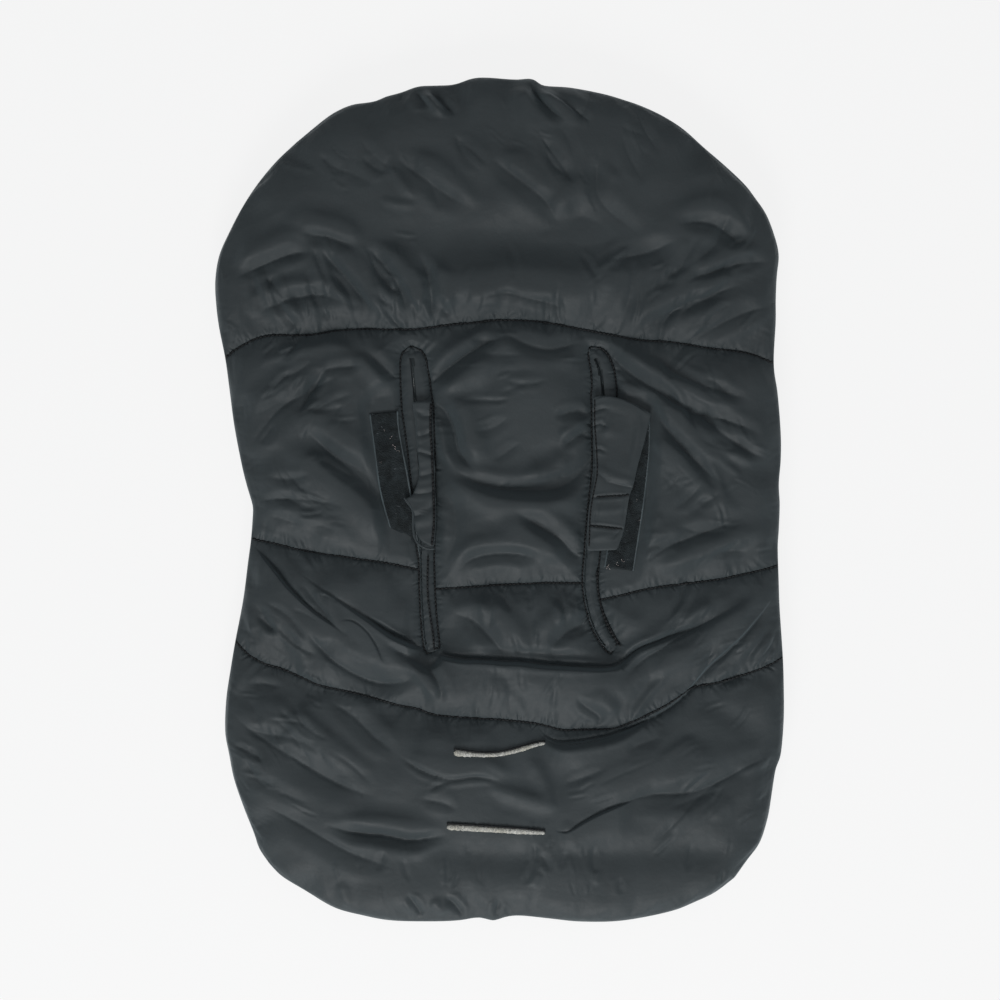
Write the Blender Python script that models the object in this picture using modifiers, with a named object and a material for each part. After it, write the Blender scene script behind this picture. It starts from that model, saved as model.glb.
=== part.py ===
"""Quilted stroller footmuff, lying closed on its front cover with the back panel up and the head end at +Y."""

import math

import bmesh
import bpy
import numpy
from mathutils import Matrix, Vector

MM = 0.001

# Whole footmuff
LENGTH = 720 * MM
WIDTH = 485 * MM
CLEARANCE = 0.3 * MM
MERGE_DISTANCE = 0.01 * MM
OVERRUN = 3 * MM
SHELL_THICK = 0.8 * MM
CAVITY_HEIGHT = 13 * MM

# Front cover
FRONT_WIDTH = 400 * MM
MOUTH_Y = 45 * MM
MOUTH_CORNER = 3 * MM
FOOT_MARGIN = 15 * MM
FOOT_CURVE_LENGTH = 84 * MM
FOOT_CURVE_POWER = 3
FRONT_WALL_HEIGHT = 12.5 * MM
FRONT_EDGE_RADIUS = 9 * MM
FRONT_WADDING_THICK = 8.9 * MM
FRONT_LINING_THICK = 2.7 * MM
FRONT_LINING_INSET = 3.3 * MM
BINDING_THICK = 1 * MM
BINDING_INNER_DEPTH = 2.9 * MM
BINDING_OUTER_DEPTH = 3.9 * MM
BINDING_GAP = 0.5 * MM
BINDING_END_MARGIN = 15 * MM
GUSSET_THICK = 1.5 * MM
GUSSET_INSET = 4.2 * MM

# Back panel
BACK_LINING_THICK = 2.4 * MM
BACK_LINING_INSET = 4.6 * MM
SEAM_RISE = 1.8 * MM
EDGE_RISE = 2.4 * MM
BED_RISE = 3 * MM
HEM_INSET = 3 * MM
HEM_DROP = 4.2 * MM
WADDING_CLEARANCE = 2.0 * MM
HEAD_CROWN = 8.5 * MM
SHOULDER_CROWN = 7.5 * MM
SEAT_CROWN = 6.0 * MM
FOOT_CROWN = 8.0 * MM

# Hood rim
RIM_INSET = 17 * MM
RIM_START_Y = 66 * MM
RIM_CASING_THICK = 1 * MM
RIM_ELASTIC_RADIUS = 3 * MM
RIM_ROUND_COUNT = 3

# Harness slots
SLOT_WIDTH = 6 * MM
SLOT_TOP_Y = 128 * MM
SLOT_BOTTOM_Y = -122 * MM
LEFT_SLOT_X = -74.5 * MM
RIGHT_SLOT_X = 85.5 * MM
FACING_THICK = 1 * MM
FACING_WALL = 1 * MM
FACING_NARROW = 6 * MM
FACING_WIDE = 13 * MM
FACING_END = 10 * MM
BED_OUTSIDE = 46 * MM
BED_MIDDLE = 11 * MM
BED_INSIDE = 26 * MM
BED_FOOT_MARGIN = 24 * MM

# Hook and loop strips
STRIP_WIDTH = 25 * MM
STRIP_THICK = 1.2 * MM
HOOK_LENGTH = 133 * MM
HOOK_CENTRE_Y = 8.5 * MM
LEFT_HOOK_OFFSET = -24.3 * MM
LEFT_HOOK_LEAN = math.radians(2.8)
RIGHT_HOOK_OFFSET = 26.6 * MM
RIGHT_HOOK_LEAN = math.radians(-3.4)

# Flaps over the harness slots
LEFT_FLAP_TOP_Y = 83 * MM
LEFT_FLAP_LENGTH = 125 * MM
LEFT_FLAP_WIDTH = 14 * MM
LEFT_FLAP_HINGE_OFFSET = 17.8 * MM
LEFT_FLAP_LAYER = 1.5 * MM
LEFT_FLAP_BEND = 1.2 * MM
LEFT_FLAP_SETBACK = 1 * MM
LEFT_LOOP_MARGIN = 4 * MM
RIGHT_FLAP_TOP_Y = 87 * MM
RIGHT_FLAP_LENGTH = 129 * MM
RIGHT_FLAP_WIDTH = 50 * MM
RIGHT_FLAP_TIP_WIDTH = 31 * MM
RIGHT_FLAP_SHOULDER = 7 * MM
RIGHT_FLAP_EASE = 1.8 * MM
RIGHT_FLAP_TAPER_LENGTH = 62 * MM
RIGHT_FLAP_HINGE_OFFSET = -8 * MM
RIGHT_FLAP_THICK = 2.7 * MM
RIGHT_FLAP_SEWN_WIDTH = 10 * MM
RIGHT_FLAP_ROOT_INSET = 0.6 * MM
RIGHT_LOOP_LENGTH = 78 * MM
RIGHT_LOOP_TOP_Y = 77 * MM
RIGHT_LOOP_EDGE = 3.5 * MM
RIGHT_LOOP_LEAN = math.radians(-2.2)

# Crotch slots
CROTCH_SLOT_WIDTH = 5.4 * MM
CROTCH_SLOT_LENGTH = 78 * MM
CROTCH_SLOT_X = -1 * MM
CROTCH_BINDING_WALL = 1.3 * MM
CROTCH_BINDING_RISE = 2.4 * MM
UPPER_CROTCH_Y = -215 * MM
LOWER_CROTCH_Y = -281 * MM

# Side zips
ZIP_INSET = 1.9 * MM
TAPE_THICK = 0.8 * MM
ZIP_BOTTOM_Y = -262 * MM
TAPE_END_MARGIN = 2 * MM
CHAIN_HALF_HEIGHT = 2.5 * MM
CHAIN_THICK = 2.4 * MM
CHAIN_TOP_Y = 30 * MM
CHAIN_FOOT_MARGIN = 4 * MM
SPINE_HEIGHT = 1.2 * MM
TOOTH_PITCH = 5 * MM
TOOTH_ROOT = 2.2 * MM
TOOTH_TIP = 1.7 * MM
TAPE_FOOT_Z = 10.3 * MM
STOP_LENGTH = 2.4 * MM
STOP_HEIGHT = 2.6 * MM
STOP_THICK = 2.6 * MM
STOP_WEB = 1 * MM

# Sliders and pull tabs
SLIDER_LENGTH = 12 * MM
SLIDER_HEIGHT = 10 * MM
SLIDER_PLATE = 1 * MM
CHANNEL_GAP = 0.4 * MM
TAPE_SLOT_GAP = 0.3 * MM
DIAMOND_LENGTH = 4.4 * MM
DIAMOND_HEIGHT = 1.8 * MM
DIAMOND_SETBACK = 3.2 * MM
CROWN_HALF_LENGTH = 3.8 * MM
CROWN_POST = 0.9 * MM
CROWN_BAR = 0.9 * MM
CROWN_OPENING = 2 * MM
CROWN_WIDTH = 1.6 * MM
CROWN_CHAMFER = 0.6 * MM
SLIDER_CHAMFER = 0.8 * MM
PULL_THICK = 1 * MM
PULL_LENGTH = 30 * MM
PULL_WIDTH = 6.8 * MM
PULL_WAIST = 5 * MM
PULL_END_WIDTH = 8 * MM
PULL_WINDOW_LENGTH = 4.1 * MM
PULL_WINDOW_WIDTH = 2.4 * MM
PULL_PIN = 1 * MM
PULL_NECK_LENGTH = 3 * MM
PULL_NOSE_LENGTH = 2 * MM

# Outline and seams, as shares of half the width and half the length, from the left to the right
FOOT_ARC_SHARES = (
    (-0.768, -0.893), (-0.687, -0.927), (-0.483, -0.986), (-0.248, -1.0), (0.0, -0.994),
    (0.272, -1.0), (0.501, -0.990), (0.680, -0.955), (0.824, -0.896),
)
LOW_SEAM_SHARES = (
    (-0.933, -0.337), (-0.827, -0.389), (-0.680, -0.427), (-0.546, -0.453), (-0.350, -0.489), (-0.230, -0.510),
    (0.0, -0.522), (0.216, -0.546), (0.388, -0.543), (0.522, -0.508), (0.673, -0.446), (0.993, -0.375),
)
MIDDLE_SEAM_SHARES = (
    (-0.880, -0.094), (-0.705, -0.120), (-0.518, -0.138), (-0.286, -0.167), (-0.227, -0.212),
    (0.0, -0.202), (0.293, -0.198), (0.350, -0.238), (0.536, -0.209), (0.754, -0.190), (0.977, -0.157),
)
HIGH_SEAM_SHARES = (
    (-0.970, 0.335), (-0.856, 0.382), (-0.571, 0.396), (-0.399, 0.404), (-0.248, 0.408),
    (-0.023, 0.425), (0.156, 0.420), (0.286, 0.404), (0.501, 0.378), (0.715, 0.361), (0.961, 0.323),
)
HEAD_ARC_SHARES = (
    (-0.719, 0.846), (-0.571, 0.922), (-0.402, 0.955), (-0.163, 0.983), (-0.047, 1.0), (0.100, 0.998),
    (0.149, 0.981), (0.357, 0.962), (0.501, 0.931), (0.715, 0.834),
)

# Sides from the foot to the head: station share of half the length, then reach share of half the width
LEFT_SIDE_SHARES = (
    (-0.893, -0.768), (-0.792, -0.866), (-0.664, -0.936), (-0.522, -0.965), (-0.337, -0.933), (-0.146, -0.887),
    (-0.013, -0.870), (0.089, -0.912), (0.266, -0.954), (0.335, -0.970), (0.472, -1.0), (0.579, -0.989),
    (0.692, -0.908), (0.801, -0.789), (0.846, -0.719),
)
RIGHT_SIDE_SHARES = (
    (-0.896, 0.824), (-0.754, 0.940), (-0.640, 0.968), (-0.475, 1.0), (-0.368, 0.993), (-0.195, 0.979),
    (-0.112, 0.975), (0.093, 0.986), (0.321, 0.961), (0.472, 0.968), (0.581, 0.979), (0.678, 0.933),
    (0.747, 0.859), (0.834, 0.715),
)

# Rows of each quilted section, as shares of the way from its lower seam to its upper one
FOOT_ROW_SHARES = (0, 0.05, 0.16, 0.32, 0.453, 0.59, 0.73, 0.84, 0.94, 1)
CROTCH_ROW_SHARES = (0.453, 0.84)
SEAT_ROW_SHARES = (0, 0.08, 0.22, 0.38, 0.54, 0.74, 0.92, 1)
SHOULDER_ROW_SHARES = (0, 0.06, 0.2, 0.4, 0.6, 0.8, 0.96, 1)
HEAD_ROW_SHARES = (0, 0.05, 0.17, 0.33, 0.5, 0.65, 0.77, 0.87, 0.94, 1)

# Columns between a slot's bed and the edge: share of the way to the edge, and share of the crown there
EDGE_COLUMN_SHARES = ((1.0, 0.0), (0.94, 0.5), (0.7, 0.93), (0.35, 1.0))
WADDING_COLUMN_SHARES = ((0.8, 0.68), (0.7, 0.93), (0.35, 1.0))

# Main folds: height of the fold, half its breadth, and its course as shares of the half sizes
SEAT_ROLL_RISE = 7.5 * MM
SEAT_ROLL_BREADTH = 17 * MM
SEAT_ROLL_SHARES = ((-0.86, -0.14), (-0.65, -0.25), (-0.385, -0.345), (-0.17, -0.41), (0.25, -0.42), (0.536, -0.36),
                    (0.701, -0.32), (0.955, -0.25))
HEAD_VALLEY_RISE = -5 * MM
HEAD_VALLEY_BREADTH = 26 * MM
HEAD_VALLEY_SHARES = ((-0.70, 0.62), (-0.35, 0.63), (0.0, 0.60), (0.35, 0.62), (0.68, 0.66))
HEAD_RIDGE_RISE = 5 * MM
HEAD_RIDGE_BREADTH = 20 * MM
HEAD_RIDGE_SHARES = ((-0.35, 0.53), (-0.15, 0.51), (0.15, 0.50), (0.40, 0.50), (0.65, 0.48))
SHOULDER_FOLD_RISE = 3.5 * MM
SHOULDER_FOLD_BREADTH = 16 * MM
SHOULDER_FOLD_SHARES = ((0.38, 0.36), (0.52, 0.31), (0.68, 0.27), (0.88, 0.21))
FOOT_VALLEY_RISE = -3 * MM
FOOT_VALLEY_BREADTH = 14 * MM
FOOT_VALLEY_SHARES = ((-0.60, -0.74), (-0.30, -0.80), (0.20, -0.78), (0.45, -0.72), (0.75, -0.66))
LAP_FOLD_RISE = 3 * MM
LAP_FOLD_BREADTH = 13 * MM
LAP_FOLD_SHARES = ((0.15, -0.585), (0.36, -0.570), (0.50, -0.53), (0.66, -0.47))
CENTRE_SAG_RISE = -1.5 * MM
CENTRE_SAG_BREADTH = 22 * MM
CENTRE_SAG_SHARES = ((-0.14, 0.06), (0.09, 0.04), (0.30, 0.08))

# Heights of the layers, from the floor up
FRONT_WADDING_LOW = SHELL_THICK + CLEARANCE
FRONT_WADDING_TOP = FRONT_WADDING_LOW + FRONT_WADDING_THICK
FRONT_LINING_LOW = FRONT_WADDING_TOP + CLEARANCE
FRONT_LINING_TOP = FRONT_LINING_LOW + FRONT_LINING_THICK
BACK_LINING_LOW = FRONT_LINING_TOP + CAVITY_HEIGHT
BACK_LINING_TOP = BACK_LINING_LOW + BACK_LINING_THICK
BACK_WADDING_LOW = BACK_LINING_TOP + CLEARANCE
SEAM_Z = BACK_LINING_TOP + SEAM_RISE
EDGE_Z = BACK_LINING_TOP + EDGE_RISE
BED_Z = SEAM_Z + BED_RISE
CHAIN_Z = (FRONT_LINING_TOP + BACK_LINING_LOW) / 2
FACING_LOW = BED_Z + CLEARANCE
FACING_TOP = FACING_LOW + FACING_THICK
HOOK_LOW = BED_Z + CLEARANCE
HOOK_TOP = HOOK_LOW + STRIP_THICK
LOOP_LOW = HOOK_TOP + CLEARANCE
LOOP_TOP = LOOP_LOW + STRIP_THICK

RIM_SIDES = 4 + 2 * RIM_ROUND_COUNT
RIM_RADIUS = (BACK_LINING_LOW / 2 - CLEARANCE) / math.cos(math.pi / RIM_SIDES)

HALF_LENGTH = LENGTH / 2
HALF_WIDTH = WIDTH / 2
HALF_FRONT = FRONT_WIDTH / 2
ZIP_X = HALF_FRONT - ZIP_INSET

SEAMS = (FOOT_ARC_SHARES, LOW_SEAM_SHARES, MIDDLE_SEAM_SHARES, HIGH_SEAM_SHARES, HEAD_ARC_SHARES)
SECTION_ROWS = (FOOT_ROW_SHARES, SEAT_ROW_SHARES, SHOULDER_ROW_SHARES, HEAD_ROW_SHARES)
SECTION_CROWNS = (FOOT_CROWN, SEAT_CROWN, SHOULDER_CROWN, HEAD_CROWN)
FOOT, SEAT, SHOULDERS, HEAD = range(len(SECTION_ROWS))
FOLDS = (
    (SEAT_ROLL_RISE, SEAT_ROLL_BREADTH, SEAT_ROLL_SHARES),
    (HEAD_VALLEY_RISE, HEAD_VALLEY_BREADTH, HEAD_VALLEY_SHARES),
    (HEAD_RIDGE_RISE, HEAD_RIDGE_BREADTH, HEAD_RIDGE_SHARES),
    (SHOULDER_FOLD_RISE, SHOULDER_FOLD_BREADTH, SHOULDER_FOLD_SHARES),
    (FOOT_VALLEY_RISE, FOOT_VALLEY_BREADTH, FOOT_VALLEY_SHARES),
    (LAP_FOLD_RISE, LAP_FOLD_BREADTH, LAP_FOLD_SHARES),
    (CENTRE_SAG_RISE, CENTRE_SAG_BREADTH, CENTRE_SAG_SHARES),
)

# Turns of a flat outline: drawn in Y and Z and pushed along X, or drawn in X and Z and pushed along -Y
ALONG_X = Matrix(((0, 0, 1), (1, 0, 0), (0, 1, 0))).to_4x4()
ALONG_Y = Matrix(((1, 0, 0), (0, 0, -1), (0, 1, 0))).to_4x4()

COLOURS = {
    "nylon": ((0.040, 0.048, 0.052), 0.55, 0.0),
    "wadding": ((0.80, 0.80, 0.78), 0.95, 0.0),
    "plush": ((0.80, 0.76, 0.66), 0.95, 0.0),
    "binding": ((0.030, 0.036, 0.040), 0.70, 0.0),
    "elastic": ((0.75, 0.75, 0.73), 0.80, 0.0),
    "zip_tape": ((0.020, 0.022, 0.025), 0.85, 0.0),
    "zip_teeth": ((0.018, 0.019, 0.021), 0.35, 0.0),
    "hook_tape": ((0.012, 0.012, 0.014), 0.90, 0.0),
    "zip_metal": ((0.060, 0.062, 0.066), 0.35, 0.9),
}


def clear_scene():
    for old in list(bpy.data.objects):
        bpy.data.objects.remove(old)


def new_collection(name):
    made = bpy.data.collections.new(name)
    bpy.context.scene.collection.children.link(made)
    return made


def material(kind):
    found = bpy.data.materials.get(kind)
    if found:
        return found
    colour, roughness, metallic = COLOURS[kind]
    made = bpy.data.materials.new(kind)
    made.use_nodes = True
    shader = made.node_tree.nodes["Principled BSDF"]
    shader.inputs["Base Color"].default_value = (*colour, 1)
    shader.inputs["Roughness"].default_value = roughness
    shader.inputs["Metallic"].default_value = metallic
    return made


def add_object(name, mesh, kind):
    made = bpy.data.objects.new(name, mesh)
    if kind:
        mesh.materials.append(material(kind))
        parts.objects.link(made)
    else:
        made.hide_render = True
        made.display_type = "WIRE"
        cutters.objects.link(made)
    return made


def mesh_of(name, work):
    bmesh.ops.recalc_face_normals(work, faces=work.faces)
    mesh = bpy.data.meshes.new(name)
    work.to_mesh(mesh)
    work.free()
    return mesh


def plate(name, loops, low, high, kind=None, turn=None):
    """A flat outline, with a hole for each further loop, made solid between two heights."""
    curve = bpy.data.curves.new(name, "CURVE")
    curve.dimensions = "2D"
    curve.fill_mode = "BOTH"
    curve.extrude = (high - low) / 2
    for loop in loops:
        spline = curve.splines.new("POLY")
        spline.points.add(len(loop) - 1)
        for point, (x, y) in zip(spline.points, loop):
            point.co = (x, y, 0, 1)
        spline.use_cyclic_u = True
    drawn = bpy.data.objects.new(name + "_outline", curve)
    bpy.context.scene.collection.objects.link(drawn)
    bpy.context.view_layer.update()
    evaluated = drawn.evaluated_get(bpy.context.evaluated_depsgraph_get())
    mesh = bpy.data.meshes.new_from_object(evaluated)
    mesh.name = name
    bpy.data.objects.remove(drawn)
    work = bmesh.new()
    work.from_mesh(mesh)
    bpy.data.meshes.remove(mesh)
    bmesh.ops.remove_doubles(work, verts=work.verts, dist=MERGE_DISTANCE)
    bmesh.ops.translate(work, verts=work.verts, vec=(0, 0, (low + high) / 2))
    if turn:
        bmesh.ops.transform(work, matrix=turn, verts=work.verts)
    return add_object(name, mesh_of(name, work), kind)


def block(name, low, high, kind=None):
    work = bmesh.new()
    bmesh.ops.create_cube(work, size=1)
    low, high = Vector(low), Vector(high)
    bmesh.ops.scale(work, vec=high - low, verts=work.verts)
    bmesh.ops.translate(work, vec=(low + high) / 2, verts=work.verts)
    return add_object(name, mesh_of(name, work), kind)


def boolean(target, tool, operation="DIFFERENCE"):
    made = target.modifiers.new(tool.name, "BOOLEAN")
    made.operation = operation
    made.object = tool
    made.solver = "EXACT"


def move_origin(target, point):
    """Puts an object's origin on its joint axis and leaves its shape where it is."""
    target.data.transform(Matrix.Translation(-Vector(point)))
    target.location = point


def stadium(x, y, half_width, half_length, upright=True):
    """Points round a slot with half-round ends."""
    steps = 6
    straight = half_length - half_width
    points = []
    for end in (1, -1):
        for step in range(steps + 1):
            angle = math.pi * step / steps
            across = half_width * math.cos(angle) * end
            along = (straight + half_width * math.sin(angle)) * end
            points.append((x + across, y + along) if upright else (x - along, y + across))
    return points


def inset_loop(points, distance):
    """A closed loop, anticlockwise, moved inwards."""
    moved = []
    count = len(points)
    for index, point in enumerate(points):
        before = Vector(points[index - 1])
        after = Vector(points[(index + 1) % count])
        run = (after - before).normalized()
        moved.append(Vector(point) + Vector((-run.y, run.x)) * distance)
    return [tuple(point) for point in moved]


def strip_outline(x, y, width, length, lean):
    """A leaning rectangle; a positive lean carries its lower end to +X."""
    corners = ((-1, -1), (1, -1), (1, 1), (-1, 1))
    turned = []
    for across, along in corners:
        dx, dy = across * width / 2, along * length / 2
        turned.append((x + dx * math.cos(lean) - dy * math.sin(lean), y + dx * math.sin(lean) + dy * math.cos(lean)))
    return turned


# Grid of the back panel

def panel_columns(edge_shares=EDGE_COLUMN_SHARES):
    """Each column: where it stands between the beds, how far out to the edge, its crown share, and if it is bed."""
    left_beds = [LEFT_SLOT_X - BED_OUTSIDE, LEFT_SLOT_X - BED_MIDDLE, LEFT_SLOT_X + BED_INSIDE]
    right_beds = [RIGHT_SLOT_X - BED_INSIDE, RIGHT_SLOT_X + BED_MIDDLE, RIGHT_SLOT_X + BED_OUTSIDE]
    between = right_beds[0] - left_beds[-1]
    columns = [(left_beds[0], -share, crown, False) for share, crown in edge_shares]
    columns += [(x, 0, 1, True) for x in left_beds]
    columns += [(left_beds[-1] + between * part / 3, 0, 1, False) for part in (1, 2)]
    columns += [(x, 0, 1, True) for x in right_beds]
    columns += [(right_beds[-1], share, crown, False) for share, crown in reversed(edge_shares)]
    return columns


def smooth(value, table):
    """A reading between a table's points on a curve that passes through them without a corner."""
    stations, reaches = zip(*table)
    slopes = numpy.gradient(reaches, stations)
    index = min(max(int(numpy.searchsorted(stations, value)) - 1, 0), len(table) - 2)
    run = stations[index + 1] - stations[index]
    part = min(max((value - stations[index]) / run, 0), 1)
    rest = 1 - part
    ends = reaches[index] * (1 + 2 * part) * rest ** 2 + reaches[index + 1] * (1 + 2 * rest) * part ** 2
    return ends + run * part * rest * (slopes[index] * rest - slopes[index + 1] * part)


def seam_point(seam, column):
    """Where a column crosses a seam, or the arc at the head or foot."""
    stand, out, _, _ = column
    table = SEAMS[seam]
    end = table[0] if out < 0 else table[-1]
    x = stand + abs(out) * (end[0] * HALF_WIDTH - stand)
    return Vector((x, smooth(x / HALF_WIDTH, table) * HALF_LENGTH))


def panel_point(section, share, column):
    """A point of the panel's plan: between two seams, drawn out to the side's own curve."""
    stand, out, _, _ = column
    low, high = seam_point(section, column), seam_point(section + 1, column)
    point = low.lerp(high, share)
    if out:
        edge = (stand, math.copysign(1, out), 0, False)
        end = seam_point(section, edge).lerp(seam_point(section + 1, edge), share)
        side = smooth(end.y / HALF_LENGTH, LEFT_SIDE_SHARES if out < 0 else RIGHT_SIDE_SHARES) * HALF_WIDTH
        point.x += abs(out) * (side - end.x)
    return point


def fold_rise(point):
    """The height that the main folds add at a point of the plan."""
    rise = 0
    for height, breadth, course in FOLDS:
        across, along = zip(*course)
        x = min(max(point.x, across[0] * HALF_WIDTH), across[-1] * HALF_WIDTH)
        y = numpy.interp(x / HALF_WIDTH, across, along) * HALF_LENGTH
        away = math.hypot(point.x - x, point.y - y) / breadth
        rise += height * math.exp(-away * away)
    return rise


def panel_height(section, share, column, point):
    """The height of the shell's upper face."""
    _, out, crown, bed = column
    on_border = abs(out) == 1 or (section == FOOT and share == 0) or (section == HEAD and share == 1)
    if on_border:
        return EDGE_Z
    beside_slot = bed and SLOT_BOTTOM_Y - FACING_END - BED_FOOT_MARGIN < point.y < SLOT_TOP_Y + FACING_END
    if beside_slot and not (section == SHOULDERS and share == 1):
        return BED_Z
    if section == FOOT and share in CROTCH_ROW_SHARES and abs(point.x - CROTCH_SLOT_X) < CROTCH_SLOT_LENGTH:
        return BED_Z
    puff = math.sqrt(max(math.sin(math.pi * share), 0)) * crown
    return SEAM_Z + (SECTION_CROWNS[section] + fold_rise(point)) * puff


def panel_rows():
    rows = [(FOOT, 0)]
    for section, shares in enumerate(SECTION_ROWS):
        rows += [(section, share) for share in shares[1:]]
    return rows


def panel_grid(rows, columns, drop=0):
    """A sheet of the panel's upper face over some of its rows and columns."""
    work = bmesh.new()
    bmesh.ops.create_grid(work, x_segments=len(columns) - 1, y_segments=len(rows) - 1, size=1)
    for vert in work.verts:
        column = columns[round((vert.co.x + 1) / 2 * (len(columns) - 1))]
        section, share = rows[round((vert.co.y + 1) / 2 * (len(rows) - 1))]
        point = panel_point(section, share, column)
        vert.co = (point.x, point.y, panel_height(section, share, column, point) - drop)
    return work


def panel_loop():
    """The panel's outline, anticlockwise from the left end of the foot."""
    rows, columns = panel_rows(), panel_columns()
    loop = [panel_point(*rows[0], column) for column in columns]
    loop += [panel_point(*row, columns[-1]) for row in rows[1:]]
    loop += [panel_point(*rows[-1], column) for column in reversed(columns[:-1])]
    loop += [panel_point(*row, columns[0]) for row in reversed(rows[1:-1])]
    return [tuple(point) for point in loop]


# Back panel

def slot_outline(x, grow):
    """A harness slot's outline, grown on all sides."""
    middle = (SLOT_TOP_Y + SLOT_BOTTOM_Y) / 2
    half = (SLOT_TOP_Y - SLOT_BOTTOM_Y) / 2
    return stadium(x, middle, SLOT_WIDTH / 2 + grow, half + grow)


def crotch_outline(y, grow):
    return stadium(CROTCH_SLOT_X, y, CROTCH_SLOT_WIDTH / 2 + grow, CROTCH_SLOT_LENGTH / 2 + grow, upright=False)


def slot_cutters(name, extra):
    """Cutters for the four slots, as wide as the facings and bindings that go through them."""
    low, high = BACK_LINING_LOW - OVERRUN, BED_Z + HEAD_CROWN + OVERRUN
    facing = FACING_WALL + CLEARANCE + extra
    binding = CROTCH_BINDING_WALL + CLEARANCE + extra
    return (
        plate(name + "_left_harness", [slot_outline(LEFT_SLOT_X, facing)], low, high),
        plate(name + "_right_harness", [slot_outline(RIGHT_SLOT_X, facing)], low, high),
        plate(name + "_upper_crotch", [crotch_outline(UPPER_CROTCH_Y, binding)], low, high),
        plate(name + "_lower_crotch", [crotch_outline(LOWER_CROTCH_Y, binding)], low, high),
    )


def make_back_shell(slots):
    columns = panel_columns()
    work = panel_grid(panel_rows(), columns)
    loop = panel_loop()
    inner = inset_loop(loop, HEM_INSET)
    rim = [edge for edge in work.edges if edge.is_boundary]
    made = bmesh.ops.extrude_edge_only(work, edges=rim)["geom"]
    for vert in (item for item in made if isinstance(item, bmesh.types.BMVert)):
        nearest = min(range(len(loop)), key=lambda index: (vert.co.xy - Vector(loop[index])).length)
        vert.co = (*inner[nearest], EDGE_Z - HEM_DROP)
    bmesh.ops.recalc_face_normals(work, faces=work.faces)
    top = max(work.faces, key=lambda face: face.calc_center_median().z)
    if top.normal.z < 0:
        bmesh.ops.reverse_faces(work, faces=work.faces)
    mesh = bpy.data.meshes.new("back_shell")
    work.to_mesh(mesh)
    work.free()
    mesh.shade_smooth()
    shell = add_object("back_shell", mesh, "nylon")
    wall = shell.modifiers.new("cloth", "SOLIDIFY")
    wall.thickness = SHELL_THICK
    wall.offset = -1
    for cutter in slots:
        boolean(shell, cutter)
    return shell


def make_wadding(name, section, slots):
    """The fill of one quilted section: crowned above, flat on the lining below."""
    rows = [(section, share) for share in SECTION_ROWS[section][1:-1]]
    work = panel_grid(rows, panel_columns(WADDING_COLUMN_SHARES), WADDING_CLEARANCE)
    made = bmesh.ops.extrude_face_region(work, geom=list(work.faces))["geom"]
    for vert in (item for item in made if isinstance(item, bmesh.types.BMVert)):
        vert.co.z = BACK_WADDING_LOW
    fill = add_object(name, mesh_of(name, work), "wadding")
    for cutter in slots:
        boolean(fill, cutter)
    return fill


def make_back_lining(slots):
    outline = inset_loop(panel_loop(), BACK_LINING_INSET)
    lining = plate("back_lining", [outline], BACK_LINING_LOW, BACK_LINING_TOP, "plush")
    for cutter in slots:
        boolean(lining, cutter)


def make_facing(side, slot_x, left_reach, right_reach):
    """A harness slot's facing: a collar through the panel and a flat flange that narrows downwards."""
    top, bottom = SLOT_TOP_Y + FACING_END, SLOT_BOTTOM_Y - FACING_END
    narrow = FACING_NARROW / FACING_WIDE
    corner = FACING_END
    flange = [
        (slot_x - left_reach * narrow, bottom),
        (slot_x + right_reach * narrow, bottom),
        (slot_x + right_reach, top - corner),
        (slot_x + right_reach / 2, top),
        (slot_x - left_reach / 2, top),
        (slot_x - left_reach, top - corner),
    ]
    name = side + "_slot_facing"
    facing = plate(name, [flange], FACING_LOW, FACING_TOP, "nylon")
    collar_top = (FACING_LOW + FACING_TOP) / 2
    collar = plate(side + "_collar", [slot_outline(slot_x, FACING_WALL)], BACK_LINING_LOW, collar_top)
    opening = slot_outline(slot_x, 0)
    slit = plate(side + "_slit", [opening], BACK_LINING_LOW - OVERRUN, FACING_TOP + OVERRUN)
    boolean(facing, collar, "UNION")
    boolean(facing, slit)


def make_crotch_binding(name, y):
    loops = [crotch_outline(y, CROTCH_BINDING_WALL), crotch_outline(y, 0)]
    plate(name, loops, BACK_LINING_LOW, BED_Z + CROTCH_BINDING_RISE, "plush")


def make_hook_strip(name, slot_x, offset, lean):
    outline = strip_outline(slot_x + offset, HOOK_CENTRE_Y, STRIP_WIDTH, HOOK_LENGTH, lean)
    plate(name, [outline], HOOK_LOW, HOOK_TOP, "hook_tape")


def rim_course():
    """The middle line of the hood rim: the head's outline moved inwards, from the left end round to the right."""
    inner = inset_loop(panel_loop(), RIM_INSET)
    rows, columns = panel_rows(), panel_columns()
    first_right = len(columns)
    across_top = first_right + len(rows) - 1
    right = [point for point in inner[first_right:across_top] if point[1] > RIM_START_Y + RIM_INSET]
    top = inner[across_top:across_top + len(columns) - 2]
    left = [point for point in inner[across_top + len(columns) - 1:] if point[1] > RIM_START_Y + RIM_INSET]
    start = (right[0][0], RIM_START_Y)
    end = (left[-1][0], RIM_START_Y)
    return [start, *right, *top, *left, end]


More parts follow.
